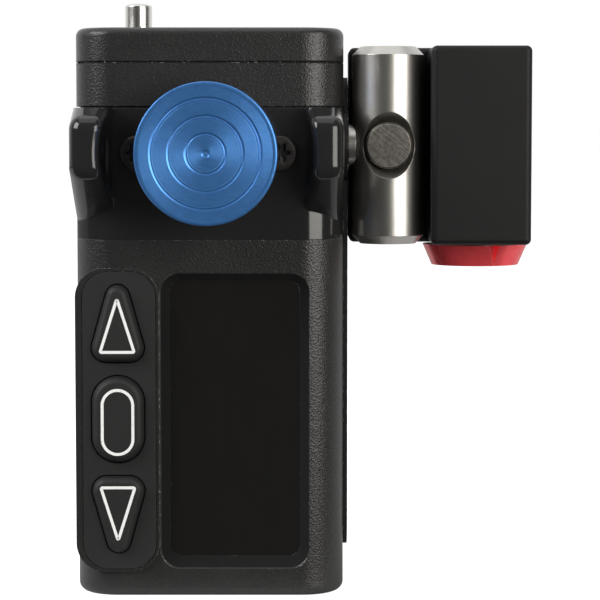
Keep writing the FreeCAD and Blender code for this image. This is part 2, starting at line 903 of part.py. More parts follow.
def make_joystick_module():
    """Middle casing with the finger guards, open below and decked above."""
    body = casing(new_blank("joystick_module"), module_low, d.module_height)
    cavity(body, module_low, module_cavity_front, cavity_rear, d.module_height - d.module_deck, True)
    holes(body, "XZ_Plane", front, [(0, knob_centre)], d.stem_hole, d.module_front_wall)
    offsets = [(-panel_screw_offset, knob_centre), (panel_screw_offset, knob_centre)]
    holes(body, "XZ_Plane", front, offsets, d.panel_screw_radius, d.module_front_wall)
    holes(body, "XY_Plane", module_high, [(0, 0)], d.wire_hole, d.module_deck)
    holes(body, "XY_Plane", module_high, tie_places, d.tie_radius, d.module_height)
    holes(body, "XY_Plane", module_high, tie_places, d.tie_head, d.tie_head_height)
    drill_side(body, plate_screw_heights[3:4])
    guards = [add_solid(guard(way), "Guard") for way in (-1, 1)]
    hollow = box(-cavity_side, cavity_side, module_cavity_front, cavity_rear, module_low,
                 module_high - d.module_deck)
    shaped = fuse(body, *[cut(item, hollow) for item in guards])
    bush_outer = d.stud_radius + d.stud_gap + d.tilt_bush_wall
    bush_room = rod("X", bush_outer, d.side_wall, cavity_side, tilt_y, tilt_z)
    screw_rooms = [rod("Z", d.cap_screw_radius, d.cap_screw_bite, x, y,
                       module_high - d.cap_screw_bite) for x, y in cap_screw_places]
    keep(cut(shaped, bush_room, *screw_rooms), "joystick_module")


def guard(way):
    """One finger guard: its side outline carried across, scooped round the knob, with rolled edges.
    Its foot and its side are set in a little, so that they cross the casing's round corner instead
    of only touching it."""
    low = module_low.number
    high = module_high.number
    outer = way * (side - d.guard_side_step).number
    inner = way * guard_inner.number
    nose = (front - d.guard_reach).number
    foot = (front + d.body_corner + d.guard_foot_set).number
    heel = foot + d.guard_root.number
    crest = (front - d.guard_crest).number
    outline = [(heel, low), (foot, low), (nose, low + d.guard_slope.number),
               (nose, high - d.guard_brow.number), (crest, high), (heel, high)]
    spots = [FreeCAD.Vector(inner, y, z) for y, z in outline + outline[:1]]
    solid = Part.Face(Part.makePolygon(spots)).extrude(FreeCAD.Vector(outer - inner, 0, 0))
    bends = [edge for edge in solid.Edges
             if runs_between(edge, "Y", nose, nose) and edge.BoundBox.ZLength < TINY]
    solid = solid.makeFillet(d.guard_bend.number, bends)
    length = 2 * (heel - nose)
    scoop = Part.makeCylinder(d.guard_scoop.number, length,
                              FreeCAD.Vector(0, nose - length / 2, knob_centre.number),
                              FreeCAD.Vector(0, 1, 0))
    solid = solid.cut(scoop).Solids[0]
    outside = [edge for edge in front_rims(solid, foot) if runs_between(edge, "X", outer, outer)]
    solid = solid.makeFillet(d.guard_outer_round.number, outside)
    middle = ((d.guard_scoop + side - d.guard_outer_round) / 2).number
    inside = [edge for edge in front_rims(solid, foot)
              if max(-edge.BoundBox.XMin, edge.BoundBox.XMax) < middle
              and not runs_between(edge, "X", inner, inner)]
    return solid.makeFillet(d.guard_inner_round.number, inside)


def front_rims(solid, foot):
    """Edges of a guard in front of its foot, apart from those of its level ends."""
    low = module_low.number
    high = module_high.number
    return [edge for edge in solid.Edges if edge.BoundBox.YMax < foot + TINY
            and not runs_between(edge, "Z", low, low) and not runs_between(edge, "Z", high, high)]


def runs_between(edge, axis, low, high):
    """Whether an edge runs from one place to another along an axis."""
    room = edge.BoundBox
    return abs(getattr(room, axis + "Min") - low) < TINY and abs(getattr(room, axis + "Max") - high) < TINY


def make_upper_housing():
    """Thin casing that holds the switch board under the cap."""
    body = casing(new_body("upper_housing"), upper_low, d.upper_height)
    cavity(body, upper_high, module_cavity_front, cavity_rear, d.upper_height - d.upper_floor, False)
    holes(body, "XY_Plane", upper_high, [(0, 0)], d.wire_hole, d.upper_height)
    reach = d.cap_screw_radius + d.screw_hole_gap
    holes(body, "XY_Plane", upper_high, cap_screw_places, reach, d.upper_height)
    drill_side(body, plate_screw_heights[4:])


def make_top_cap():
    """Cap with its rounded top edge, the button's bush hole and countersunk screw holes."""
    body = casing(new_blank("top_cap"), cap_low, d.cap_height)
    dress(body, "Fillet", d.cap_round, flat_at(cap_high))
    cavity(body, cap_low, module_cavity_front, cavity_rear, d.cap_height - d.cap_web, True)
    bush_outer = d.button_radius + d.button_gap + d.bush_wall
    holes(body, "XY_Plane", cap_high, [(button_x, button_y)], bush_outer, d.cap_height)
    reach = d.cap_screw_radius + d.screw_hole_gap
    holes(body, "XY_Plane", cap_high, cap_screw_places, reach, d.cap_height)
    sinks = [sink("Z", x, y, cap_high, d.cap_screw_radius, d.cap_screw_head)
             for x, y in cap_screw_places]
    keep(cut(body, *sinks), "top_cap")


def sink(axis, x, y, z, shank, head):
    """Cone of a countersunk head whose wide end lies at the given place."""
    depth = head - shank
    if axis == "Z":
        return cone("Z", shank, head, depth, x, y, z - depth)
    if axis == "Y":
        return cone("Y", shank, head, depth, x, y - depth, z)
    return cone("X", shank, head, depth, x - depth, y, z)


def make_gasket(label, low, thick):
    """Flat seal between two casings, set in from their outline."""
    body = new_body(label)
    outline = new_sketch(body, "XY_Plane", low)
    inset = d.gasket_inset
    draw_rectangle(outline, inset - side, side - inset, front + inset, back - inset,
                   d.body_corner - inset)
    pad(body, outline, thick)
    cavity(body, low, module_cavity_front, cavity_rear, thick, True)
    reach = d.cap_screw_radius + d.screw_hole_gap
    holes(body, "XY_Plane", low, cap_screw_places, reach, thick, True)


# Display, keypad and boards

def make_display():
    """Window, the panel behind it and the panel's board."""
    plate(new_body("display_window"), "XZ_Plane", window_front, d.window_thick, window_left, window_right,
          window_low, window_high, d.window_corner)
    inset = d.window_ledge + d.panel_gap
    plate(new_body("display_panel"), "XZ_Plane", panel_front, main_cavity_front - panel_front,
          window_left + inset, window_right - inset, window_low + inset, window_high - inset,
          d.window_ledge)
    reach = d.board_overlap - d.window_ledge
    plate(new_body("display_board"), "XZ_Plane", main_cavity_front, d.board_thick, window_left - reach,
          window_right + reach, window_low - reach, window_high + reach, d.window_ledge)


def make_keypad():
    """Mat with its key openings, the board behind it and the three switches."""
    body = plate(new_blank("keypad_mat"), "XZ_Plane", mat_front, d.mat_thick, mat_left, mat_right,
                 mat_low, mat_high, d.mat_corner)
    openings = [add_solid(key_prism(number, d.key_gap.number, mat_front, mat_back), "Opening")
                for number in range(3)]
    keep(cut(body, *openings), "keypad_mat")
    left = d.cavity_corner - cavity_side
    right = window_left - d.board_overlap + d.window_ledge - d.panel_gap
    plate(new_body("keypad_board"), "XZ_Plane", main_cavity_front, d.board_thick, left, right, mat_low,
          mat_high, d.window_ledge)
    half = d.switch_side / 2
    switches = [box(key_x - half, key_x + half, main_cavity_front - d.switch_rise, main_cavity_front,
                    z - half, z + half) for z in key_centres]
    keep(group(switches), "key_switches")
    for number, label in enumerate(("up_key", "select_key", "down_key")):
        make_key(label, number)


def make_main_board():
    """Control board on four stand-offs of the rear wall."""
    half = cavity_side - d.board_side_gap
    board_front = board_rear - d.board_thick
    body = plate(new_body("main_board"), "XZ_Plane", board_front, d.board_thick, -half, half,
                 d.main_board_low, d.main_height - d.main_board_top, d.window_ledge)
    heights = (d.standoff_low, d.main_height - d.standoff_low)
    across = cavity_side - d.standoff_inset
    places = [(x, z) for x in (-across, across) for z in heights]
    holes(body, "XZ_Plane", board_front, places, d.board_screw_radius, d.board_thick)
    keep(group([ring("Y", d.standoff_radius, d.board_screw_radius, d.standoff_length,
                     x, board_rear, z) for x, z in places]), "board_standoffs")
    rise = d.board_screw_radius
    keep(group([cut(fuse(rod("Y", d.board_screw_head, rise, x, board_front - rise, z),
                         rod("Y", d.board_screw_radius, d.board_screw_length + rise, x,
                             board_front - rise, z)),
                    prism("Y", 6, rise * d.hex_share, rise * d.hex_depth_share, x,
                          board_front - rise, z))
                for x, z in places]), "board_screws")


def make_rear_cover():
    """Cover plate in the back, its screws and the control socket that it carries."""
    body = plate(new_blank("rear_cover"), "XZ_Plane", cover_front, d.cover_thick,
                 -cover_half, cover_half, d.cover_low, cover_high,
                 d.cover_corner - d.cover_gap)
    places = cover_screw_places()
    sinks = [sink("Y", x, back, z, d.cover_screw_radius, d.cover_screw_head)
             for x, z in places]
    shanks = [rod("Y", d.cover_screw_radius, d.cover_thick, x, cover_front, z)
              for x, z in places]
    hole = rod("Y", d.socket_bore + d.socket_wall, d.cover_thick, 0, cover_front, d.socket_centre)
    keep(cut(body, hole, *sinks, *shanks), "rear_cover")
    keep(group([flat_screw("Y", x, back, z, d.cover_screw_radius, d.cover_screw_head,
                           d.cover_thick + d.cover_screw_bite - d.thread_room)
                for x, z in places]), "rear_cover_screws")
    make_control_socket()


def make_control_socket():
    """Round socket with its nut and the insulator that holds the contacts."""
    z = d.socket_centre
    mouth = back + d.socket_rise
    foot = mouth - d.socket_length
    shell = fuse(rod("Y", d.socket_bore + d.socket_wall, d.socket_length, 0, foot, z),
                 rod("Y", d.socket_flange, d.socket_rise, 0, back, z))
    floor = mouth - d.socket_mouth
    seat_radius = d.socket_bore + d.socket_seat
    bore = rod("Y", d.socket_bore, d.socket_mouth, 0, floor, z)
    seat = rod("Y", seat_radius, floor - foot, 0, foot, z)
    keep(cut(shell, bore, seat), "control_socket")
    nut = prism("Y", 6, d.socket_nut_radius, d.socket_nut_thick, 0,
                cover_front - d.socket_nut_thick, z)
    keep(cut(nut, rod("Y", d.socket_bore + d.socket_wall, d.socket_nut_thick, 0,
                      cover_front - d.socket_nut_thick, z)), "socket_nut")
    face = floor - d.socket_rest
    contacts = []
    for number in range(int(DIMENSIONS["contact_count"])):
        turn = 2 * math.pi * number / DIMENSIONS["contact_count"]
        contacts.append(rod("Y", d.contact_radius, d.contact_length,
                            d.contact_circle * math.cos(turn), face - d.contact_length,
                            z + d.contact_circle * math.sin(turn)))
    body = rod("Y", seat_radius, face - foot, 0, foot, z)
    keep(cut(body, *contacts), "socket_insert")


def flat_screw(axis, x, y, z, shank, head, length):
    """Countersunk screw with a six-sided socket, its head flush at the given place."""
    depth = head - shank
    taper = sink(axis, x, y, z, shank, head)
    socket = shank * d.hex_share
    recess = depth * d.hex_depth_share
    if axis == "Z":
        body = fuse(taper, rod("Z", shank, length - depth, x, y, z - length))
        return cut(body, prism("Z", 6, socket, recess, x, y, z - recess))
    if axis == "Y":
        body = fuse(taper, rod("Y", shank, length - depth, x, y - length, z))
        return cut(body, prism("Y", 6, socket, recess, x, y - recess, z))
    body = fuse(taper, rod("X", shank, length - depth, x - length, y, z))
    return cut(body, prism("X", 6, socket, recess, x - recess, y, z))


# Thumb rocker

def make_knob():
    """Turned knob with three rings, a dimple and the hub that takes the stem."""
    body = new_body("knob")
    sketch = new_sketch(body, "XY_Plane", knob_centre)
    face = knob_face
    rear = face + d.knob_thick
    edge = d.knob_edge
    profile = [(0, face + d.dimple_depth), (d.dimple_radius, face)]
    for radius in (d.ring_inner, d.ring_middle, d.ring_outer):
        profile += [(radius - d.ring_width / 2, face), (radius, face + d.ring_depth),
                    (radius + d.ring_width / 2, face)]
    profile += [(d.knob_radius - edge, face), (d.knob_radius - edge * BEND, face + edge * BEND),
                (d.knob_radius, face + edge), (d.knob_radius, rear - edge),
                (d.knob_radius - edge, rear), (d.knob_hub_radius, rear),
                (d.knob_hub_radius, knob_rear), (d.stem_radius, knob_rear),
                (d.stem_radius, knob_rear - d.stem_socket), (0, knob_rear - d.stem_socket)]
    draw_polygon(sketch, profile)
    turned = body.newObject("PartDesign::Revolution", "Turned")
    turned.Profile = sketch
    turned.ReferenceAxis = (sketch, ["V_Axis"])
    turned.Angle = 360
    doc.recompute()
    hole = knob_rear - d.knob_hub_length / 2
    side_hole = new_sketch(body, "YZ_Plane", 0)
    draw_circle(side_hole, hole, knob_centre, d.set_screw_radius)
    pocket(body, side_hole, d.knob_hub_radius, backwards=True)
    mouth = d.knob_hub_radius - d.set_screw_recess
    keep(cut(rod("X", d.set_screw_radius, mouth - d.stem_radius, d.stem_radius, hole,
                 knob_centre),
             prism("X", 6, d.set_screw_hex, d.set_screw_socket, mouth - d.set_screw_socket,
                   hole, knob_centre)),
         "knob_set_screw")


def make_rocker():
    """Stem and hub that swing on the pivot pin, with the peg and the magnet behind."""
    y = rocker_axis
    z = knob_centre
    stem_front = knob_rear - d.stem_socket
    stem = rod("Y", d.stem_radius, y - stem_front, 0, stem_front, z)
    hub = rod("Z", d.hub_radius, d.hub_height, 0, y, hub_low)
    tail_front = y + d.tail_start
    tail_rear = y + d.peg_offset + d.peg_radius + d.tail_lap
    tail = box(-d.tail_half, d.tail_half, tail_front, tail_rear, hub_low,
               hub_low + d.tail_thick)
    half = d.magnet_seat_half
    seat = box(-half, half, tail_front, y + d.magnet_seat, z - half, z + half)
    peg = rod("Z", d.peg_radius, d.peg_length, 0, y + d.peg_offset, peg_foot)
    bore = rod("Z", d.pivot_radius + d.running_gap, d.hub_height, 0, y, hub_low)
    magnet_front = y + d.magnet_reach - d.magnet_length
    magnet_room = rod("Y", d.magnet_radius, d.magnet_length, 0, magnet_front, z)
    keep(cut(fuse(stem, hub, tail, seat, peg), bore, magnet_room), "rocker_arm")
    keep(rod("Y", d.magnet_radius, d.magnet_length, 0, magnet_front, z), "rocker_magnet")


def make_yoke():
    """Yoke behind the front wall that holds the pivot pin and a fixed peg."""
    y = rocker_axis
    plate_front = module_cavity_front
    reach = panel_screw_offset + d.yoke_margin
    base = box(-reach, reach, plate_front, plate_front + d.yoke_plate, low_ear_low, high_ear_high)
    low_ear = box(-d.yoke_half, d.yoke_half, plate_front, y + d.yoke_reach, low_ear_low, low_ear_high)
    high_ear = box(-d.yoke_half, d.yoke_half, plate_front, y + d.yoke_half, high_ear_low,
                   high_ear_high)
    fixed_peg = rod("Z", d.peg_radius, low_ear_high - peg_foot, 0, y + d.fixed_peg_offset, peg_foot)
    across = d.peg_radius + d.peg_swing
    along = d.peg_radius + d.peg_slack
    slot = box(-across, across, y + d.peg_offset - along, y + d.peg_offset + along,
               low_ear_low, low_ear_high)
    stem_room = rod("Y", d.stem_hole, d.yoke_plate, 0, plate_front, knob_centre)
    pin_room = rod("Z", d.pivot_radius, high_ear_high - low_ear_low, 0, y, low_ear_low)
    screw_rooms = [rod("Y", d.panel_screw_radius, d.yoke_plate, x, plate_front, knob_centre)
                   for x in (-panel_screw_offset, panel_screw_offset)]
    keep(cut(fuse(base, low_ear, high_ear, fixed_peg), slot, stem_room, pin_room, *screw_rooms),
         "pivot_block")
    make_pivot_pin(y)
    make_centring_spring(y)
    board_front = y + d.magnet_reach + d.sensor_gap + d.chip_thick
    board = box(-d.sensor_board_half, d.sensor_board_half, board_front,
                board_front + d.board_thick, low_ear_high, high_ear_high)
    chip = box(-d.chip_half, d.chip_half, board_front - d.chip_thick, board_front,
               knob_centre - d.chip_half, knob_centre + d.chip_half)
    keep(fuse(board, chip), "sensor_board")


def make_pivot_pin(y):
    """Grooved pin and the open clip that holds it."""
    groove = d.pivot_radius - d.clip_groove
    clip_low = pin_foot + d.clip_thick / 2
    pin = rod("Z", d.pivot_radius, high_ear_high - pin_foot, 0, y, pin_foot)
    groove_tool = ring("Z", 2 * d.pivot_radius, groove, d.clip_thick, 0, y, clip_low)
    keep(cut(pin, groove_tool), "pivot_pin")
    clip = ring("Z", d.clip_radius, groove, d.clip_thick, 0, y, clip_low)
    mouth = box(-groove, groove, y, y + d.clip_radius, clip_low, clip_low + d.clip_thick)
    keep(cut(clip, mouth), "pin_clip")


def coil(radius, wire, low, high, turns, x, y, leg=0.0):
    """Helical spring between two heights as one swept wire, with straight legs if asked."""
    rise = high - low - wire
    helix = Part.makeHelix(rise / turns, rise, radius)
    helix.rotate(FreeCAD.Vector(0, 0, 0), FreeCAD.Vector(0, 0, 1), 180)
    edges = helix.Edges
    start = edges[0].valueAt(edges[0].FirstParameter)
    start_way = edges[0].tangentAt(edges[0].FirstParameter)
    if leg > 0:
        end = edges[-1].valueAt(edges[-1].LastParameter)
        end_way = edges[-1].tangentAt(edges[-1].LastParameter)
        edges = [Part.makeLine(start - start_way * leg, start)] + edges
        edges.append(Part.makeLine(end, end + end_way * leg))
        start = start - start_way * leg
    section = Part.Wire(Part.makeCircle(wire / 2, start, start_way))
    solid = Part.Wire(edges).makePipeShell([section], True, True)
    solid.translate(FreeCAD.Vector(x, y, low + wire / 2))
    return solid


def make_centring_spring(y):
    """Torsion spring round the pin, its two legs on either side of the pegs."""
    leg = d.fixed_peg_offset + d.peg_radius + d.spring_leg_over
    low = peg_foot + d.spring_end_gap
    high = low_ear_low - d.spring_end_gap
    spring = coil(d.spring_radius.number, d.spring_wire.number, low.number, high.number,
                  d.spring_turns.number, 0, y.number, leg.number)
    keep(add_solid(spring, "Spring"), "centring_spring")


def make_module_screws():
    """Two screws with star sockets beside the knob, which hold the yoke."""
    rise = d.panel_screw_rise
    screws = []
    for x in (-panel_screw_offset, panel_screw_offset):
        head = rod("Y", d.panel_screw_head, rise, x, front - rise, knob_centre)
        shank = rod("Y", d.panel_screw_radius, d.module_front_wall + d.yoke_plate, x, front,
                    knob_centre)
        stars = []
        for turn in (0, 60):
            star = prism("Y", 3, d.star_radius, d.socket_depth, x, front - rise, knob_centre)
            spin = FreeCAD.Rotation(FreeCAD.Vector(0, 0, 1), turn)
            star.Placement = FreeCAD.Placement(star.Placement.Base, TURNS["Y"].multiply(spin))
            stars.append(star)
        screws.append(cut(fuse(head, shank), *stars))
    keep(group(screws), "module_screws")


# Run button

def make_run_button():
    """Domed plunger with its lip and foot, in a bush of the cap, over its switch."""
    x = button_x
    y = button_y
    bush_low = cap_high - d.cap_web - d.bush_drop
    lip_high = bush_low - d.button_lip_gap
    lip_low = lip_high - d.button_lip_thick
    top = cap_high + d.button_rise
    body = new_body("run_button")
    sketch = new_sketch(body, "XZ_Plane", y)
    lip_radius = d.button_radius + d.button_lip
    foot_low = lip_low - d.button_foot
    profile = [(0, foot_low), (d.button_foot_radius, foot_low), (d.button_foot_radius, lip_low),
               (lip_radius, lip_low), (lip_radius, lip_high), (d.button_radius, lip_high),
               (d.button_radius, top - d.button_dome)]
    for share in (0.85, 0.6, 0.3, 0):
        drop = d.button_dome * (1 - math.sqrt(1 - share ** 2))
        profile.append((d.button_radius * share, top - drop))
    draw_polygon(sketch, profile)
    turned = body.newObject("PartDesign::Revolution", "Turned")
    turned.Profile = sketch
    turned.ReferenceAxis = (sketch, ["V_Axis"])
    turned.Angle = 360
    bind(body, "Placement.Base.x", x)
    inner = d.button_radius + d.button_gap
    keep(ring("Z", inner + d.bush_wall, inner, cap_high + d.bush_rise - bush_low, x, y, bush_low),
         "button_bush")
    make_run_switch(x, y, foot_low, lip_low)


def make_run_switch(x, y, foot_low, lip_low):
    """Switch on its board, and the spring that returns the button."""
    board_low = upper_low + d.upper_floor
    board_high = board_low + d.board_thick
    half = d.switch_body / 2
    switch_top = foot_low - d.button_travel_room
    body_high = switch_top - d.actuator_rise
    body = box(x - half, x + half, y - half, y + half, board_high, body_high)
    plunger = rod("Z", d.actuator_radius, d.actuator_rise, x, y, body_high)
    keep(fuse(body, plunger), "run_switch")
    reach = d.cavity_corner
    keep(box(reach - cavity_side, x + half + d.switch_board_spare,
             module_cavity_front + reach, cavity_rear - reach, board_low, board_high),
         "switch_board")
    low = body_high + d.return_end_gap
    high = lip_low - d.return_end_gap
    spring = coil(d.return_radius.number, d.return_wire.number, low.number, high.number,
                  d.return_turns.number, x.number, y.number)
    keep(add_solid(spring, "Spring"), "button_spring")


# Screws that hold the stack

def make_stack_screws():
    """Four long screws from the module into the main housing and four in the cap."""
    length = d.module_height + d.tie_bite
    socket = d.tie_radius * d.hex_share
    sunk = d.tie_head_height * d.hex_depth_share
    ties = []
    for x, y in tie_places:
        head = rod("Z", d.tie_head, d.tie_head_height, x, y, module_high - d.tie_head_height)
        shank = rod("Z", d.tie_radius, length - d.tie_head_height, x, y, module_high - length)
        recess = prism("Z", 6, socket, sunk, x, y, module_high - sunk)
        ties.append(cut(fuse(head, shank), recess))
    keep(group(ties), "tie_screws")
    length = cap_high - module_high + d.cap_screw_bite
    keep(group([flat_screw("Z", x, y, cap_high, d.cap_screw_radius, d.cap_screw_head, length)
                for x, y in cap_screw_places]), "cap_screws")


# Side plate and tilt joint

def make_side_plate():
    """Thin plate on the right side with a round pad at the tilt joint, and its screws."""
    slab = new_blank("side_mount_plate")
    sketch = new_sketch(slab, "YZ_Plane", side)
    draw_rectangle(sketch, -plate_half, plate_half, d.plate_low, plate_high, d.plate_corner)
    pad(slab, sketch, d.plate_thick)
    lobe = rod("X", d.plate_pad, d.plate_thick, side, tilt_y, tilt_z)
    bush_outer = d.stud_radius + d.stud_gap + d.tilt_bush_wall
    tools = [rod("X", bush_outer, d.plate_thick, side, tilt_y, tilt_z)]
    screws = []
    head = d.plate_screw_radius + d.plate_thick * d.plate_sink_share
    for height in plate_screw_heights:
        tools.append(rod("X", d.plate_screw_radius, d.plate_thick, side, d.plate_screw_y, height))
        tools.append(sink("X", plate_outer, d.plate_screw_y, height, d.plate_screw_radius, head))
        screws.append(flat_screw("X", plate_outer, d.plate_screw_y, height, d.plate_screw_radius,
                                 head, d.plate_screw_length + d.plate_thick))
    keep(cut(fuse(slab, lobe), *tools), "side_mount_plate")
    keep(group(screws), "side_plate_screws")


def make_tilt_joint():
    """Bush in the side wall, and the stud, spring washer and saddle that turn in it."""
    y = tilt_y
    z = tilt_z
    inner = d.stud_radius + d.stud_gap
    outer = inner + d.tilt_bush_wall
    flange_x = cavity_side - d.tilt_bush_flange_thick
    sleeve = rod("X", outer, plate_outer - cavity_side, cavity_side, y, z)
    flange = rod("X", d.tilt_bush_flange, d.tilt_bush_flange_thick, flange_x, y, z)
    bore = rod("X", inner, plate_outer - flange_x, flange_x, y, z)
    keep(cut(fuse(sleeve, flange), bore), "tilt_bush")
    spring_x = flange_x - d.tilt_gap - d.tilt_spring_thick
    keep(ring("X", d.stud_head, d.stud_radius, d.tilt_spring_thick, spring_x, y, z),
         "tilt_spring_washer")
    head_x = spring_x - d.stud_head_thick
    end_x = post_x + d.stud_bite
    head = rod("X", d.stud_head, d.stud_head_thick, head_x, y, z)
    shank = rod("X", d.stud_radius, end_x - head_x, head_x, y, z)
    recess = prism("X", 6, d.stud_hex, d.socket_depth, head_x, y, z)
    keep(cut(fuse(head, shank), recess), "pivot_stud")
    saddle_x = plate_outer + d.tilt_gap
    saddle = rod("X", d.saddle_radius, d.saddle_thick, saddle_x, y, z)
    post = rod("Z", d.post_radius, d.bracket_height, post_x, y, bracket_low)
    shank_room = rod("X", d.stud_radius, d.saddle_thick, saddle_x, y, z)
    keep(cut(saddle, post, shank_room), "saddle_washer")


# Bracket

def make_swivel_post():
    """Upright steel bar with a countersunk cross hole and the dowel that fills it."""
    y = tilt_y
    z = tilt_z
    low = bracket_low
    end = d.post_end
    bar = rod("Z", d.post_radius, d.bracket_height - 2 * end, post_x, y, low + end)
    foot = cone("Z", d.post_radius - end, d.post_radius, end, post_x, y, low)
    crown = cone("Z", d.post_radius, d.post_radius - end, end, post_x, y, bracket_high - end)
    hole = d.dowel_radius + d.dowel_gap
    through = rod("Y", hole, 2 * d.post_radius, post_x, post_front, z)
    countersink = cone("Y", d.sink_radius, hole, d.sink_depth, post_x, post_front, z)
    stud_room = rod("X", d.stud_radius, d.post_radius, post_x - d.post_radius, y, z)
    screw_rooms = [rod("Y", d.post_screw_radius, 2 * d.post_screw_bite, post_x,
                       y + d.post_radius - d.post_screw_bite, height)
                   for height in web_post_screws]
    keep(cut(fuse(bar, foot, crown), through, countersink, stud_room, *screw_rooms), "swivel_post")
    bevel = d.dowel_bevel
    dowel = fuse(cone("Y", d.dowel_radius - bevel, d.dowel_radius, bevel, post_x, dowel_front, z),
                 rod("Y", d.dowel_radius, d.dowel_length - bevel, post_x, dowel_front + bevel, z))
    stud = rod("X", d.stud_radius, d.dowel_radius + d.stud_bite, post_x - d.dowel_radius, y, z)
    keep(cut(dowel, stud), "cross_dowel")


def make_bracket_block():
    """Clamp block with the web that carries the post, the rod bore and the shoe's shaft."""
    body = new_blank("bracket_block")
    sketch = new_sketch(body, "XY_Plane", bracket_low)
    rear = block_face + d.block_depth
    draw_polygon(sketch, [(block_left, block_face), (block_right, block_face),
                          (block_right, rear), (block_left, rear), (block_left, web_rear),
                          (web_left, web_rear), (web_left, web_front),
                          (block_left, web_front)])
    pad(body, sketch, d.bracket_height)
    dress(body, "Fillet", d.block_round, block_corner)
    dress(body, "Fillet", d.block_rim_round, block_rim)
    y = tilt_y
    post_room = rod("Z", d.post_radius, d.bracket_height, post_x, y, bracket_low)
    saddle_room = rod("X", d.saddle_radius + d.tilt_gap, post_x - web_left, web_left, y,
                      tilt_z)
    rod_room = rod("X", d.rod_bore, d.rod_depth, block_right - d.rod_depth, clamp_y, rod_z)
    half = d.shoe_side / 2 + d.shoe_gap
    shoe_room = box(clamp_x - half, clamp_x + half, clamp_y - half, clamp_y + half,
                    bush_high, rod_z)
    bush_room = rod("Z", d.screw_bush_radius, d.screw_bush_length, clamp_x, clamp_y,
                    bracket_low)
    tools = [post_room, saddle_room, rod_room, shoe_room, bush_room]
    tools += post_screw_rooms()
    keep(cut(body, *tools), "bracket_block")


def block_corner(edge):
    """Upright corners of the block, apart from those at the web."""
    span = edge.BoundBox
    faces = (block_face.number, (block_face + d.block_depth).number)
    upright = span.ZLength > d.bracket_height.number - TINY
    return upright and any(abs(span.YMin - face) < TINY for face in faces)


def block_rim(edge):
    """Edges of the top and the underside."""
    return flat_at(bracket_low)(edge) or flat_at(bracket_high)(edge)


def post_screw_rooms():
    """Counterbored holes through the web."""
    rooms = []
    depth = web_rear - tilt_y
    for height in web_post_screws:
        rooms.append(rod("Y", d.post_screw_radius, depth, post_x, web_rear - depth, height))
        rooms.append(rod("Y", d.post_screw_head, d.post_screw_head_height, post_x,
                         web_rear - d.post_screw_head_height, height))
    return rooms


def make_post_screws():
    """Two cap screws that pull the post against the web."""
    screws = []
    head_front = web_rear - d.post_screw_head_height
    head_rear = web_rear - d.post_screw_sunk
    tip = tilt_y + d.post_radius - d.post_screw_bite
    for height in web_post_screws:
        head = rod("Y", d.post_screw_head, head_rear - head_front, post_x, head_front, height)
        shank = rod("Y", d.post_screw_radius, head_front - tip, post_x, tip, height)
        recess = prism("Y", 6, d.post_screw_hex, d.post_screw_socket, post_x,
                       head_rear - d.post_screw_socket, height)
        screws.append(cut(fuse(head, shank), recess))
    keep(group(screws), "post_screws")


# Rod clamp

def make_clamp():
    """Bush, screw, clip and shoe inside the block, and the notched knob under it."""
    x = clamp_x
    y = clamp_y
    low = bracket_low
    inner = d.clamp_screw_radius + d.running_gap
    keep(ring("Z", d.screw_bush_radius, inner, d.screw_bush_length, x, y, low), "screw_bush")
    keep(ring("Z", d.thrust_radius, inner, d.thrust_thick, x, y, low - d.thrust_thick),
         "thrust_washer")
    groove = d.clamp_screw_radius - d.screw_groove
    clip_low = bush_high + d.screw_clip_gap
    screw_low = red_low + d.red_floor
    screw = rod("Z", d.clamp_screw_radius, clamp_screw_top - screw_low, x, y, screw_low)
    groove_tool = ring("Z", 2 * d.clamp_screw_radius, groove, d.screw_clip_thick, x, y, clip_low)
    keep(cut(screw, groove_tool), "clamp_screw")
    clip = ring("Z", d.screw_clip_radius, groove, d.screw_clip_thick, x, y, clip_low)
    mouth = box(x - groove, x + groove, y, y + d.screw_clip_radius, clip_low,
                clip_low + d.screw_clip_thick)
    keep(cut(clip, mouth), "screw_clip")
    half = d.shoe_side / 2
    shoe = box(x - half, x + half, y - half, y + half, shoe_low, shoe_high)
    hollow = rod("X", d.rod_bore + d.shoe_clear, d.shoe_side, x - half, y, rod_z)
    thread = rod("Z", inner, clamp_screw_top + d.shoe_room - shoe_low, x, y, shoe_low)
    keep(cut(shoe, hollow, thread), "clamp_shoe")
    make_clamp_knob(x, y)


def make_clamp_knob(x, y):
    """Conical knob with V notches that run out towards its foot."""
    body = cone("Z", d.red_foot_radius, d.red_top_radius, d.red_height, x, y, red_low)
    socket = rod("Z", d.clamp_screw_radius, d.red_height, x, y, red_low + d.red_floor)
    notches = []
    for number in range(DIMENSIONS["red_notches"]):
        turn = math.radians(DIMENSIONS["red_notch_first"] - 90
                            + 360 / DIMENSIONS["red_notches"] * number)
        notches.append(notch(turn, x.number, y.number))
    keep(cut(body, socket, *notches), "clamp_knob")


def notch(turn, x, y):
    """V notch, deep at the knob's top and running out near its foot."""
    low = (red_low + d.red_notch_foot).number
    high = (red_high + d.red_notch_over).number
    lean = (d.red_top_radius.number - d.red_foot_radius.number) / d.red_height.number
    edge_low = d.red_foot_radius.number + d.red_notch_foot.number * lean
    edge_high = d.red_top_radius.number + d.red_notch_over.number * lean
    clear = d.red_notch_clear.number

    def section(radius, deep, level):
        points = []
        run = deep + clear
        for away, offset in ((radius - deep, 0),
                             (radius + clear, -run * d.red_notch_left.number),
                             (radius + clear, run * d.red_notch_right.number)):
            along = FreeCAD.Vector(math.cos(turn), math.sin(turn), 0) * away
            across = FreeCAD.Vector(-math.sin(turn), math.cos(turn), 0) * offset
            points.append(FreeCAD.Vector(x, y, level) + along + across)
        return Part.makePolygon(points + points[:1])

    foot = section(edge_low, d.red_notch_tip.number, low)
    crown = section(edge_high, d.red_notch_depth.number, high)
    return add_solid(Part.makeLoft([foot, crown], True), "Notch")


# Build every sub-part

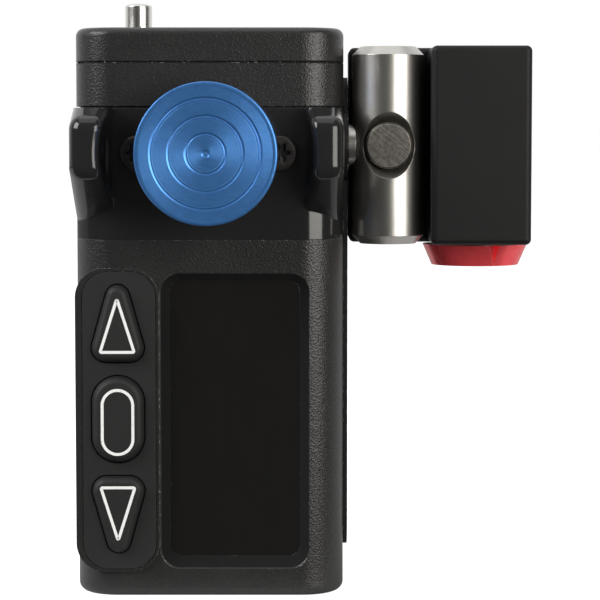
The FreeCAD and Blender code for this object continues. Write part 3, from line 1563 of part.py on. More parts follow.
make_main_housing()
make_joystick_module()
make_upper_housing()
make_top_cap()
make_gasket("module_gasket", module_high, d.module_gasket_thick)
make_gasket("cap_gasket", upper_high, d.cap_gasket_thick)
make_display()
make_keypad()
make_main_board()
make_rear_cover()
make_knob()
make_rocker()
make_yoke()
make_module_screws()
make_run_button()
make_stack_screws()
make_side_plate()
make_tilt_joint()
make_swivel_post()
make_bracket_block()
make_post_screws()
make_clamp()
doc.recompute()

# Check every object and write the sub-parts

for item in doc.Objects:
    if "Invalid" in item.State or "Error" in item.State:
        raise ValueError(f"{item.Label} failed: {item.State}")
os.makedirs("parts", exist_ok=True)
for item in subparts:
    if item.Shape.isNull() or not item.Shape.isValid() or not item.Shape.Solids:
        raise ValueError(f"{item.Label} has no valid solid")
    item.Shape.exportStep(f"parts/{item.Label}.step")
    print(item.Label, len(item.Shape.Solids), round(item.Shape.Volume, 2))
print(len(subparts), "sub-parts")
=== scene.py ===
import json
import math

import bpy
import numpy as np
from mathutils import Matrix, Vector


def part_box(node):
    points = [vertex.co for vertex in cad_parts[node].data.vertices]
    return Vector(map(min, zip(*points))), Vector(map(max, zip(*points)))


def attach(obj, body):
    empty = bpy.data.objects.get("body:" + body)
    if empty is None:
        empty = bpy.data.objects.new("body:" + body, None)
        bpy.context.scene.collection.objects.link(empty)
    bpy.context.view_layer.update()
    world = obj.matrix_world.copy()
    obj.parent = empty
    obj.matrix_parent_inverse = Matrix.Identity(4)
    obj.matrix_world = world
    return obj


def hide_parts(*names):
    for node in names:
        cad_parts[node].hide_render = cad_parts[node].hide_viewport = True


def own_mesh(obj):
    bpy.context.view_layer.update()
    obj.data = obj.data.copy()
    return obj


# Looks of the zoom control handle, in the CAD model's own frame: X across the handle, Y from front
# to back, Z up. New pieces are worked out in millimetres, and grid_mesh turns them into metres.

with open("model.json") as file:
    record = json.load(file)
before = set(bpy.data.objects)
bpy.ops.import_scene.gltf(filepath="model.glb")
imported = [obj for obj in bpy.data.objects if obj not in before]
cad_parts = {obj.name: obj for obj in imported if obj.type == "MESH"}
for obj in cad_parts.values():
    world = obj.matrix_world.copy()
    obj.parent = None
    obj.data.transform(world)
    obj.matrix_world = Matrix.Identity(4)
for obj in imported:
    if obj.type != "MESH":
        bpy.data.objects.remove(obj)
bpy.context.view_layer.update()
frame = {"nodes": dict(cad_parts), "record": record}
MM = 0.001


def span(node):
    """Lowest and highest corners of a node at rest, in millimetres."""
    return [np.array(corner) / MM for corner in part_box(node)]


def link(thing):
    """Put an object into the scene."""
    bpy.context.scene.collection.objects.link(thing)


# A new surface lies a skin's depth inside the solid that it stands for, and a turned profile ends
# at a small radius round its pole, where a cap closes it

SKIN = 0.02
POLE = 0.02

# Places that the new pieces share with the solids that they stand for

knob_low, knob_high = span("knob")
KNOB_CENTRE = (knob_low + knob_high) / 2 * (1, 0, 1)
KNOB_RADIUS = (knob_high[0] - knob_low[0]) / 2
KNOB_FACE = knob_low[1]
KNOB_REAR = KNOB_FACE + 5.0
KNOB_HUB_RADIUS = 4.5
KNOB_HUB_REAR = knob_high[1]
KNOB_SOCKET_RADIUS = 2.5
KNOB_SOCKET_FLOOR = KNOB_FACE + 2.5
SET_SCREW_RADIUS = 1.0
SET_SCREW_SUNK = 0.45
SET_SCREW_Y = np.mean(span("knob_set_screw"), axis=0)[1]

MAT_FRONT = span("keypad_mat")[0][1]
KEY_LIP = 0.6
KEY_LIP_DEEP = 1.0
KEY_SHOULDER = 1.2
KEY_CROWN = 0.35

# Marks of the lathe on the knob's face: fine saw, dimple, and rings as (place, depth) points

KNOB_RIM_ROUND = 0.75
SAW_STEP, SAW_DEPTH = 0.06, 0.0145
DIMPLE_RADIUS, DIMPLE_WALL, DIMPLE_DEPTH = 0.80, 0.4, 0.12
RINGS = (3.45, 6.5, 9.55)
RING_PROFILE = ((-0.60, 0), (-0.54, 0.02), (-0.48, 0.02), (-0.42, 0),
                (-0.18, 0), (-0.12, 0.14), (-0.06, 0.14), (0.30, 0))
RING_SMOOTH_MIDDLE, RING_SMOOTH_HALF = 0.06, 0.25


# Surfaces

def grid_mesh(name, points, turns_back=False, start_cap=False, end_cap=False, sharp=35):
    """Closed-round surface from a grid: columns always join up round the shape, and rows join up
    too where turns_back is set. A cap is a fan from an end row to that row's middle point.
    Faces are turned outwards by the sign of the volume that they enclose. Edges sharper than an
    angle in degrees stay sharp."""
    rows, columns, _ = points.shape
    vertices = points.reshape(-1, 3)
    bands = rows if turns_back else rows - 1
    i, j = np.meshgrid(np.arange(bands), np.arange(columns), indexing="ij")
    below = (i + 1) % rows
    beside = (j + 1) % columns
    quads = np.stack([i * columns + j, i * columns + beside, below * columns + beside,
                      below * columns + j], axis=-1).reshape(-1, 4)
    ring = np.arange(columns)
    after = (ring + 1) % columns
    fans = []
    for wanted, row, order in ((start_cap, 0, (after, ring)), (end_cap, rows - 1, (ring, after))):
        if wanted:
            pole = np.full(columns, len(vertices))
            vertices = np.vstack([vertices, points[row].mean(axis=0)])
            edge = row * columns
            fans.append(np.stack([edge + order[0], edge + order[1], pole], axis=-1))
    triangles = np.vstack([quads[:, [0, 1, 2]], quads[:, [0, 2, 3]], *fans])
    a, b, c = (vertices[triangles[:, k]] for k in range(3))
    if np.einsum("ij,ij->i", a, np.cross(b, c)).sum() < 0:
        quads = quads[:, ::-1]
        fans = [fan[:, ::-1] for fan in fans]
    mesh = bpy.data.meshes.new(name)
    faces = quads.tolist() + [face for fan in fans for face in fan.tolist()]
    mesh.from_pydata((vertices * MM).tolist(), [], faces)
    mesh.shade_smooth()
    mesh.set_sharp_from_angle(angle=math.radians(sharp))
    piece = bpy.data.objects.new(name, mesh)
    link(piece)
    return piece


def round_angles(columns):
    """Angles of evenly spaced columns round a shape."""
    return np.linspace(0, 2 * math.pi, columns, endpoint=False)


def rounded(corners, steps=5):
    """Profile through corner points (a, b, radius). A corner with a radius becomes the curve
    (1 - t)^2 start + 2 t (1 - t) corner + t^2 end, which touches both of the corner's sides at
    equal distances from it, cut short where a side is too small for the radius."""
    spots = np.array([corner[:2] for corner in corners], dtype=float)
    radii = [corner[2] for corner in corners[1:-1]]
    line = [spots[:1]]
    for before, here, after, radius in zip(spots, spots[1:], spots[2:], radii):
        way_in = (before - here) / np.linalg.norm(before - here)
        way_out = (after - here) / np.linalg.norm(after - here)
        half = math.acos(float(np.clip(way_in @ way_out, -1, 1))) / 2
        reach = min(radius / math.tan(half), np.linalg.norm(before - here) / 2,
                    np.linalg.norm(after - here) / 2) if radius else 0
        if not reach:
            line.append(here[None])
            continue
        t = np.linspace(0, 1, steps)[:, None]
        start, end = here + way_in * reach, here + way_out * reach
        line.append((1 - t) ** 2 * start + 2 * t * (1 - t) * here + t ** 2 * end)
    return np.vstack(line + [spots[-1:]])


def turned(radius, along, t, centre, axis="Y"):
    """Points of a turned form: at angle t a point lies radius times (cos t, sin t) across the axis,
    at its own place along it."""
    across, up, along = np.broadcast_arrays(radius * np.cos(t), radius * np.sin(t), along)
    order = (across, along, up) if axis == "Y" else (across, up, along)
    return np.stack(order, axis=-1) + centre


def belt(circles, grow, columns=120):
    """Outline of a belt laid round circles (x, z, radius), grown by a distance: the point whose
    outward direction is n lies on the circle that reaches furthest along n, at its centre plus n
    times its radius."""
    t = round_angles(columns) + math.pi / columns
    n = np.stack([np.cos(t), np.sin(t)], axis=-1)
    rings = np.array(circles, dtype=float)
    chosen = rings[np.argmax(n @ rings[:, :2].T + rings[:, 2], axis=1)]
    return chosen[:, :2] + n * (chosen[:, 2:] + grow)


def belt_rows(circles, rows):
    """Rows of a key or a mark: one belt outline for each (grow, y)."""
    outlines = []
    for grow, y in rows:
        outline = belt(circles, grow)
        outlines.append(np.stack([outline[:, 0], np.full(len(outline), y), outline[:, 1]], axis=-1))
    return np.array(outlines)


# Knob, run button and screws

def knob_face():
    """Front of the knob as (radius, y) points. The depth is a function of the radius: the dimple,
    the rings (a hair line and a groove whose outer wall leans) and the saw of the turning, which
    stops short of the rings."""
    radius = np.arange(0.05, KNOB_RADIUS - 0.8, SAW_STEP)
    depth = DIMPLE_DEPTH * np.clip((DIMPLE_RADIUS - radius) / DIMPLE_WALL, 0, 1)
    saw = SAW_DEPTH * (np.arange(len(radius)) % 2)
    places, depths = zip(*RING_PROFILE)
    for ring in RINGS:
        depth += np.interp(radius - ring, places, depths)
        saw *= np.abs(radius - ring - RING_SMOOTH_MIDDLE) > RING_SMOOTH_HALF
    return np.stack([radius, KNOB_FACE + SKIN + depth + saw], axis=-1)


def turned_knob():
    """Thumb knob as one turned profile: its face, its rounded rim, and the hub with the socket for
    the rocker arm. The set screw's hole is sunk into the hub where a point lies within the screw's
    radius of the screw's middle, measured on the hub's surface."""
    front = knob_face()
    face, outer = KNOB_FACE + SKIN, KNOB_RADIUS - SKIN
    rim = rounded([(front[-1, 0], face, 0), (outer, face, KNOB_RIM_ROUND),
                   (outer, KNOB_REAR, KNOB_RIM_ROUND), (KNOB_HUB_RADIUS, KNOB_REAR, 0.12),
                   (KNOB_HUB_RADIUS, KNOB_HUB_REAR, 0)], 6)
    rear = rounded([(KNOB_HUB_RADIUS, KNOB_REAR, 0), (KNOB_HUB_RADIUS, KNOB_HUB_REAR, 0.2),
                    (KNOB_SOCKET_RADIUS, KNOB_HUB_REAR, 0.1),
                    (KNOB_SOCKET_RADIUS, KNOB_SOCKET_FLOOR, 0.1), (POLE, KNOB_SOCKET_FLOOR, 0)], 6)
    hub_y = np.linspace(KNOB_REAR + 0.3, KNOB_HUB_REAR - 0.35, 60)
    hub = np.stack([np.full(len(hub_y), KNOB_HUB_RADIUS), hub_y], axis=-1)
    profile = np.vstack([front, rim[1:-2], hub, rear[1:]])
    radius, along = profile[:, 0, None], profile[:, 1, None]
    t = round_angles(240)
    round_hub = KNOB_HUB_RADIUS * np.arctan2(np.sin(t), np.cos(t))
    in_hole = np.hypot(round_hub[None, :], along - SET_SCREW_Y) < SET_SCREW_RADIUS
    on_hub = np.abs(radius - KNOB_HUB_RADIUS) < 0.01
    radius = np.where(on_hub & in_hole, KNOB_HUB_RADIUS - SET_SCREW_SUNK, radius)
    piece = grid_mesh("turned_knob", turned(radius, along, t, KNOB_CENTRE), start_cap=True,
                      end_cap=True, sharp=20)
    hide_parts("knob")
    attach(piece, "joystick")
    return piece


def domed_button():
    """Run button: its foot, its lip and the pin, whose end is the shallow dome
    (R cos t, h sin t)."""
    pin, foot, lip, dome_height = 2.43, 1.5, 3.28, 0.62
    low, high = span("run_button")
    base, lip_floor, lip_top = low[2] + 0.03, low[2] + 1.71, low[2] + 2.7
    shoulder = high[2] - 0.65
    t = np.linspace(0, math.pi / 2, 14)
    dome = np.stack([pin * np.cos(t), shoulder + dome_height * np.sin(t)], axis=-1)[:-1]
    stem = rounded([(POLE, base, 0), (foot, base, 0.15), (foot, lip_floor, 0.05),
                    (lip, lip_floor, 0.12), (lip, lip_top, 0.12), (pin, lip_top, 0.05),
                    (pin, shoulder - 0.15, 0)])
    profile = np.vstack([stem, dome, [[POLE, shoulder + dome_height]]])
    middle = (low + high) / 2 * (1, 1, 0)
    points = turned(profile[:, 0, None], profile[:, 1, None], round_angles(96), middle, "Z")
    piece = grid_mesh("domed_button", points, start_cap=True, end_cap=True, sharp=50)
    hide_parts("run_button")
    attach(piece, "run_button")
    return piece


def wound_spring():
    """Return spring under the run button: a round wire carried along the helix
    (R cos t, R sin t, rise (t - pi) / 2 pi n) for n turns."""
    turns, wire, steps, columns = 4, 0.25, 60, 14
    low, high = span("button_spring")
    middle = (low + high) / 2
    coil = (high[0] - low[0]) / 2 - wire
    start = low[2] + wire + 0.01
    rise = high[2] - low[2] - 2 * wire - 0.02
    t = np.linspace(math.pi, math.pi * (1 + 2 * turns), steps * turns + 1)[:, None, None]
    s = round_angles(columns)[None, :, None]
    slope = rise / (2 * math.pi * turns * coil)
    out = np.concatenate([np.cos(t), np.sin(t), 0 * t], axis=-1)
    along = np.concatenate([-np.sin(t), np.cos(t), 0 * t + slope], axis=-1)
    across = np.cross(along / np.linalg.norm(along, axis=-1, keepdims=True), out)
    climb = (t - math.pi) / (2 * math.pi * turns) * np.array([0, 0, rise])
    line = coil * out + climb + (0, 0, start)
    points = line + wire * (np.cos(s) * out + np.sin(s) * across) + middle * (1, 1, 0)
    piece = grid_mesh("wound_spring", points, start_cap=True, end_cap=True, sharp=60)
    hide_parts("button_spring")
    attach(piece, "handle")
    travel = 1.5
    tuple(middle[:2] * MM) + (low[2] * MM,)
    1 - travel / (high[2] - low[2])
    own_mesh(piece)
    return piece


def star_screws():
    """Two pan screws. The recess wall is a circle with six lobes, radius 1.5 + 0.34 cos 6t, and
    every row of the head is a blend between that star and the round head, by its share."""
    head, shank, point, from_end = 2.92, 1.25, 0.9, 3.1
    low, high = span("module_screws")
    front, rear, z = low[1] + SKIN, low[1] + 1.58, (low[2] + high[2]) / 2
    t = round_angles(180)
    star = 1.5 + 0.34 * np.cos(6 * t)
    rows = [(0.15, 0, front + 1.1), (0.8, 0, front + 1.0), (0.97, 0, front + 0.93),
            (1.0, 0, front + 0.2), (1.05, 0, front + 0.06), (1.12, 0.05, front + 0.02)]
    rows += [(1.12, share, front + 0.1 * share ** 3) for share in (0.3, 0.6, 0.85)]
    rows += [(1.0, 1.0, front + 0.16), (1.0, 1.045, front + 0.3), (1.0, 1.06, front + 0.5),
             (1.0, 1.06, rear - 0.1), (1.0, 1.02, rear)]
    scale, share, y = np.array(rows).T[:, :, None]
    star_part = np.minimum(scale * star, head) * (1 - np.minimum(share, 1))
    shank_rows = np.broadcast_to([[shank], [shank], [point]], (3, len(t)))
    radius = np.vstack([star_part + head * share, shank_rows])
    along = np.vstack([y, [[rear], [high[1] - 0.4], [high[1]]]])
    pieces = []
    for side, x in (("left", low[0] + from_end), ("right", high[0] - from_end)):
        piece = grid_mesh(side + "_star_screw", turned(radius, along, t, (x, 0, z)),
                          start_cap=True, end_cap=True, sharp=40)
        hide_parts("module_screws")
        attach(piece, "handle")
        pieces.append(piece)
    return pieces


# Keys and their printed marks

def key_circles(shape, middle):
    """Circles whose belt is a key's outline: a triangle up (1) or down (-1), or an oval (0)."""
    half, foot, tip, reach, oval = 4.65, 2.6, 2.1, 6.9, 3.1
    x, z = middle
    if shape == 0:
        return [(x, z - oval, half), (x, z + oval, half)]
    base = z - shape * (reach - foot)
    return [(x - half + foot, base, foot), (x + half - foot, base, foot),
            (x, z + shape * (reach - tip), tip)]


def mark_circles(shape, middle):
    """Circles whose belt is the middle line of a key's printed outline."""
    half, corner, tip, foot, point = 2.95, 0.22, 0.14, 5.0, 4.2
    oval, oval_below, oval_above = 2.72, 3.4, 2.6
    x, z = middle
    if shape == 0:
        return [(x, z - oval_below, oval), (x, z + oval_above, oval)]
    base = z - shape * foot + shape * corner
    return [(x - half + corner, base, corner), (x + half - corner, base, corner),
            (x, z + shape * point - shape * tip, tip)]


def soft_key(node, shape, low, high):
    """Moulded key: upright below the mat, then a shoulder that leans in by (1 - cos a)^0.8 while
    it rises by sin a, over a quarter turn, and a flat crown."""
    rise = MAT_FRONT - low[1]
    lip = high[1] - KEY_LIP_DEEP
    rows = [(KEY_LIP, high[1]), (KEY_LIP, lip), (0.0, lip)]
    rows += [(-KEY_SHOULDER * (1 - math.cos(a)) ** 0.8, MAT_FRONT - rise * math.sin(a))
             for a in np.linspace(0, 1, 12) * math.pi / 2]
    rows.append((-KEY_SHOULDER - KEY_CROWN, low[1]))
    middle = (low + high)[[0, 2]] / 2
    piece = grid_mesh("soft_" + node, belt_rows(key_circles(shape, middle), rows), start_cap=True,
                      end_cap=True, sharp=60)
    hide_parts(node)
    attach(piece, node)
    return piece


def printed_mark(node, shape, low, high):
    """Printed outline: a flat band, its section carried round the mark's middle line."""
    half, sunk, proud = 0.26, low[1] + 0.01, low[1] - 0.015
    rows = [(-half, sunk), (-half, proud), (half, proud), (half, sunk)]
    middle = (low + high)[[0, 2]] / 2
    piece = grid_mesh(node + "_mark", belt_rows(mark_circles(shape, middle), rows),
                      turns_back=True, sharp=30)
    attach(piece, node)
    return piece


# Finishes

class Wire:
    """A value inside a finish. Arithmetic on it adds Math nodes."""

    def __init__(self, finish, socket):
        self.finish = finish
        self.socket = socket

    def __add__(self, other):
        return self.finish.maths("ADD", self, other)

    __radd__ = __add__

    def __sub__(self, other):
        return self.finish.maths("SUBTRACT", self, other)

    def __rsub__(self, other):
        return self.finish.maths("SUBTRACT", other, self)

    def __mul__(self, other):
        return self.finish.maths("MULTIPLY", self, other)

    __rmul__ = __mul__


class Finish:
    """A material in the making, for one surface finish, or the world's air where its tree is
    given."""

    def __init__(self, name, tree=None):
        self.material = None
        if tree is None:
            self.material = bpy.data.materials.new(name)
            self.material.use_nodes = True
            tree = self.material.node_tree
        self.tree = tree
        self.tree.nodes.clear()

    def node(self, kind, settings=None, sockets=None, output=0):
        """Add a node, make its settings, then give its sockets their values or wires."""
        item = self.tree.nodes.new("ShaderNode" + kind)
        for name, value in (settings or {}).items():
            setattr(item, name, value)
        for key, value in (sockets or {}).items():
            if isinstance(value, Wire):
                self.tree.links.new(value.socket, item.inputs[key])
            else:
                item.inputs[key].default_value = value
        return Wire(self, item.outputs[output]) if len(item.outputs) else None

    def maths(self, operation, *values):
        return self.node("Math", {"operation": operation}, dict(enumerate(values)))

    def place(self, stretch=(1, 1, 1)):
        """Object coordinates, stretched."""
        return self.node("VectorMath", {"operation": "MULTIPLY"},
                         {0: self.node("TexCoord", output="Object"), 1: stretch})

    def axes(self, spot):
        return [self.node("SeparateXYZ", sockets={0: spot}, output=axis) for axis in "XYZ"]

    def ray(self, kind):
        return self.node("LightPath", output=f"Is {kind} Ray")

    def noise(self, size, stretch=(1, 1, 1), detail=2.0):
        """Soft noise whose lumps are about a size in millimetres."""
        return self.node("TexNoise", sockets={"Vector": self.place(stretch),
                                              "Scale": 1 / (size * MM), "Detail": detail})

    def cells(self, size, output="Distance"):
        """Cells of a size in millimetres: the distance to their middles, or a random colour."""
        return self.node("TexVoronoi", sockets={"Vector": self.place(), "Scale": 1 / (size * MM)},
                         output=output)

    def ramp(self, value, low, high):
        """0 below one level, 1 above another, smooth between them."""
        return self.node("MapRange", {"interpolation_type": "SMOOTHSTEP"},
                         {0: value, 1: low, 2: high, 3: 0.0, 4: 1.0})

    def near(self, value, middle, half):
        """1 within half a width of a middle, 0 elsewhere."""
        return self.maths("COMPARE", value, middle, half)

    def blend(self, mask, low, high):
        """Colour between two colours."""
        low, high = (value if isinstance(value, Wire) else (*value, 1.0) for value in (low, high))
        return self.node("Mix", {"data_type": "RGBA"}, {0: mask, 6: low, 7: high}, 2)

    def eased(self, radius):
        """Normal with the edges eased over a radius in millimetres."""
        return self.node("Bevel", {"samples": 6}, {"Radius": radius * MM})

    def rims(self, radius):
        """Mask of the edges: where the eased normal leaves the true one."""
        plain = self.node("NewGeometry", output="Normal")
        same = self.node("VectorMath", {"operation": "DOT_PRODUCT"},
                         {0: self.eased(radius), 1: plain}, "Value")
        return self.ramp(1 - same, 0.02, 0.2)

    def bumps(self, height, depth, normal=None):
        """Normal of a height pattern whose full depth is given in micrometres."""
        sockets = {"Height": height, "Strength": 1.0, "Distance": depth * 1e-6}
        if normal is not None:
            sockets["Normal"] = normal
        return self.node("Bump", sockets=sockets)

    def done(self, **sockets):
        """Finish the surface with a Principled shader and give back the material."""
        values = {key.replace("_", " "): value for key, value in sockets.items()}
        shader = self.node("BsdfPrincipled", sockets=values)
        self.node("OutputMaterial", sockets={"Surface": shader})
        return self.material


def powder_coat():
    """Black powder coat: low grains a quarter of a millimetre across that glint where a lamp is
    mirrored, painted shade in the grains' valleys over a random tone, small chips on the rims
    down to bare metal, painted shade in the display's recess, whose paint is also smoother and
    duller, and painted shade along the seals."""
    f = Finish("black powder coat")
    valley_shade, crest = (0.0105, 0.0105, 0.0108), (0.026, 0.0255, 0.025)
    # painted shade: near-black colours for the display's recess and for the bands along the seals
    recess_shade_colour, seam_shade_colour = (0.0016, 0.0016, 0.0017), (0.0015, 0.0015, 0.0015)
    bare_metal = (0.40, 0.385, 0.365)
    recess_side, recess_below, recess_above, recess_deep = 1.82, 2.17, 1.37, 1.32
    seam_half = 0.27
    grain = f.noise(0.26, detail=3.0)
    lumps = f.cells(0.36)
    tone = f.noise(6.0, detail=1.0)
    chip = f.rims(0.2) * f.ramp(f.noise(0.7, detail=3.0), 0.58, 0.63)
    low, high = span("display_window")
    low = (low - (recess_side, 0, recess_below)) * MM
    high = (high + (recess_side, 0, recess_above)) * MM
    middle, half = (low + high) / 2, (high - low) / 2
    x, y, z = f.axes(f.place())
    recess = (f.near(x, middle[0], half[0]) * f.near(y, low[1], recess_deep * MM)
              * f.near(z, middle[2], half[2]))
    # painted shade along the seals: 1 within seam_half of each seal's middle height
    seam_shade_mask = sum(f.near(z, np.mean(span(seal), axis=0)[2] * MM, seam_half * MM)
                for seal in ("cap_gasket", "module_gasket"))
    # painted shade: the coat is darker where the grain is low and lighter where it is high, mixed
    # with a random tone
    coat = f.blend(tone * 0.4 + grain * 0.6, valley_shade, crest)
    # painted shade in the display's recess, on a smoother, duller finish
    coat = f.blend(recess, coat, recess_shade_colour)
    # painted shade: the coat is near black along the seals, where the gaps are shaded
    coat = f.blend(seam_shade_mask, coat, seam_shade_colour)
    normal = f.bumps((grain * 0.6 + lumps * 0.5) * (1 - recess * 0.8), 78, f.eased(0.12))
    return f.done(Base_Color=f.blend(chip, coat, bare_metal), Metallic=chip * 0.8,
                  Roughness=0.26 + grain * 0.12 + recess * 0.64 + seam_shade_mask * 0.5, Normal=normal)


def gloss_moulding():
    """Smooth gloss black with a faint flow wave and hair scratches."""
    f = Finish("gloss black")
    clean, scratched = (0.0165, 0.0165, 0.0168), (0.0220, 0.0218, 0.0215)
    wave = f.noise(3.0, detail=1.0)
    hairs = f.ramp(f.noise(0.22, (1.0, 0.06, 0.25), 3.0), 0.62, 0.7)
    return f.done(Base_Color=f.blend(hairs, clean, scratched), Roughness=0.13 + hairs * 0.07,
                  Normal=f.bumps(wave, 5, f.eased(0.25)))


def matte_anodised(name="matte black anodised", worn=0.3):
    """Matte black anodising over a bead-blasted face, worn to bright metal along its edges."""
    f = Finish(name)
    dark, light, bright = (0.0050, 0.0050, 0.0052), (0.0072, 0.0072, 0.0074), (0.30, 0.29, 0.28)
    blast = f.noise(0.12, detail=2.0)
    tone = f.noise(9.0, detail=2.0)
    rim = f.rims(0.25) * f.ramp(f.noise(1.2, detail=2.0), 0.50, 0.62)
    base = f.blend(rim * worn, f.blend(tone, dark, light), bright)
    return f.done(Base_Color=base, Specular_IOR_Level=0.3, Roughness=0.48 + blast * 0.1,
                  Normal=f.bumps(blast, 5, f.eased(0.15)))


def blue_anodised():
    """Satin blue anodising with fine level streaks, paler on all its edges as a painted
    highlight, and a little paler in rubbed spots.
    """
    f = Finish("blue anodised")
    deep, clear, rubbed = (0.044, 0.166, 0.475), (0.092, 0.298, 0.705), (0.26, 0.55, 0.92)
    streaks = f.noise(0.16, (0.12, 1.0, 1.0), 3.0)
    tone = f.noise(2.5, detail=3.0)
    pale = f.ramp(f.noise(0.35, detail=3.0), 0.60, 0.72)
    base = f.blend(streaks * 0.6 + tone * 0.4, deep, clear)
    # painted highlight: every edge is made paler; the random pale spots are rubbed wear
    base = f.blend(f.rims(0.10) * 0.8 + pale * 0.12, base, rubbed)
    return f.done(Base_Color=base, Metallic=0.72, Roughness=0.27 + streaks * 0.14,
                  Normal=f.bumps(streaks, 3, f.eased(0.05)))


def red_anodised():
    """Smooth red anodising, paler on its worn edges."""
    f = Finish("red anodised")
    deep, clear, pale = (0.80, 0.058, 0.070), (1.0, 0.105, 0.120), (1.0, 0.34, 0.34)
    tone = f.noise(1.6, detail=3.0)
    marks = f.noise(0.14, (0.05, 0.05, 1.0), 2.0)
    base = f.blend(f.rims(0.2) * 0.55, f.blend(tone, deep, clear), pale)
    return f.done(Base_Color=base, Metallic=0.4, Roughness=0.22 + marks * 0.06,
                  Normal=f.bumps(marks, 1, f.eased(0.12)))


def turned_steel():
    """Satin stainless bar with faint round tool marks and a few handling scratches."""
    f = Finish("satin steel")
    dark, light = (0.47, 0.455, 0.425), (0.60, 0.585, 0.555)
    marks = f.noise(0.16, (0.04, 0.04, 1.0), 2.0)
    scratch = f.ramp(f.noise(0.5, (0.8, 0.8, 0.05), 4.0), 0.66, 0.72)
    stain = f.noise(5.0, detail=3.0)
    return f.done(Base_Color=f.blend(stain * 0.8 + marks * 0.2, dark, light), Metallic=1.0,
                  Roughness=0.30 + marks * 0.04 + scratch * 0.08,
                  Normal=f.bumps(marks * 0.4 + scratch * 0.3, 2, f.eased(0.12)))


def sawn_steel():
    """Dowel end as cut: a rough mottled face with slanting streaks and a bright rim, a painted
    highlight.
    """
    f = Finish("sawn steel")
    dark, light, bright = (0.115, 0.108, 0.098), (0.24, 0.23, 0.21), (0.85, 0.79, 0.70)
    streaks_per_metre = 2600.0
    mottle = f.noise(0.50, detail=4.0)
    x, _, z = f.axes(f.place())
    streaks = f.node("TexNoise", {"noise_dimensions": "1D"},
                     {"W": x * 0.8 + z, "Scale": streaks_per_metre, "Detail": 3.0})
    base = f.blend(f.ramp(mottle * 0.6 + streaks * 0.4, 0.3, 0.7), dark, light)
    # painted highlight: the rims of the dowel's end are painted bright beige
    return f.done(Base_Color=f.blend(f.rims(0.3), base, bright), Metallic=0.85,
                  Roughness=0.36 + mottle * 0.15,
                  Normal=f.bumps(mottle + streaks * 0.5, 8, f.eased(0.1)))


def nickel_plate():
    """Bright nickel with a soft polish haze."""
    f = Finish("bright nickel")
    dark, light = (0.62, 0.605, 0.58), (0.76, 0.745, 0.72)
    haze = f.noise(0.9, detail=3.0)
    hairs = f.noise(0.08, (1.0, 1.0, 0.08), 3.0)
    return f.done(Base_Color=f.blend(haze, dark, light), Metallic=1.0,
                  Roughness=0.22 + haze * 0.08, Normal=f.bumps(hairs, 2, f.eased(0.08)))


def black_oxide():
    """Black oxide on screws, brown where it has thinned and bright along the worn edges."""
    f = Finish("black oxide")
    black, brown, bright = (0.034, 0.029, 0.026), (0.058, 0.051, 0.046), (0.42, 0.40, 0.37)
    thin = f.noise(0.9, detail=3.0)
    worn = f.rims(0.12) * f.ramp(f.noise(0.5, detail=2.0), 0.40, 0.52)
    base = f.blend(worn * 0.8, f.blend(thin, black, brown), bright)
    return f.done(Base_Color=base, Metallic=0.5, Roughness=0.30 + thin * 0.15,
                  Normal=f.bumps(thin, 5, f.eased(0.06)))


def spring_wire():
    """Drawn steel wire with a thin brown film."""
    f = Finish("spring wire")
    brown, bright = (0.42, 0.40, 0.37), (0.60, 0.59, 0.57)
    film = f.noise(1.5, detail=2.0)
    return f.done(Base_Color=f.blend(film, brown, bright), Metallic=1.0,
                  Roughness=0.25 + film * 0.15, Normal=f.bumps(f.noise(0.1), 2))


def bearing_bronze():
    """Sintered bronze, pitted and a little uneven in tone."""
    f = Finish("bearing bronze")
    dark, light = (0.36, 0.21, 0.08), (0.60, 0.40, 0.17)
    tone = f.noise(1.2, detail=3.0)
    return f.done(Base_Color=f.blend(tone, dark, light), Metallic=1.0,
                  Roughness=0.35 + tone * 0.2, Normal=f.bumps(f.cells(0.12), 8, f.eased(0.08)))


def silicone():
    """Smooth silicone skin with a very fine grain and a little lint."""
    f = Finish("black silicone")
    dark, light, dust = (0.0085, 0.0085, 0.0088), (0.0120, 0.0120, 0.0123), (0.06, 0.06, 0.058)
    skin = f.noise(0.10, detail=2.0)
    tone = f.noise(5.0, detail=2.0)
    lint = f.ramp(f.axes(f.cells(0.2, "Color"))[2], 0.993, 0.998)
    return f.done(Base_Color=f.blend(lint * 0.4, f.blend(tone, dark, light), dust),
                  Roughness=0.55 + skin * 0.12, Normal=f.bumps(skin, 4, f.eased(0.15)))


def smoked_glass():
    """Smoked window, nearly black, with wiped smears in its gloss."""
    f = Finish("smoked glass")
    dark, light = (0.0078, 0.0076, 0.0072), (0.0105, 0.0100, 0.0095)
    smear = f.noise(3.0, (1.0, 1.0, 0.35), 3.0)
    return f.done(Base_Color=f.blend(smear, dark, light), Roughness=0.05 + smear * 0.08,
                  Normal=f.bumps(f.noise(8.0, detail=1.0), 4, f.eased(0.1)))


def circuit_board():
    """Green board lacquer over copper runs."""
    f = Finish("circuit board")
    lacquer, over_copper = (0.012, 0.075, 0.030), (0.030, 0.150, 0.060)
    pads_per_metre = 420.0
    pads = f.node("TexVoronoi", {"distance": "CHEBYCHEV"},
                  {"Vector": f.place(), "Scale": pads_per_metre})
    runs = f.ramp(pads, 0.28, 0.34)
    weave = f.noise(0.2, detail=2.0)
    return f.done(Base_Color=f.blend(runs, lacquer, over_copper), Roughness=0.32 + weave * 0.15,
                  Normal=f.bumps(runs, 20, f.eased(0.05)))


def moulded_plastic():
    """Spark-eroded black plastic."""
    f = Finish("moulded plastic")
    dark, light = (0.020, 0.020, 0.021), (0.032, 0.032, 0.033)
    grain = f.noise(0.15, detail=2.0)
    return f.done(Base_Color=f.blend(f.noise(4.0), dark, light), Roughness=0.5 + grain * 0.15,
                  Normal=f.bumps(grain, 12, f.eased(0.1)))


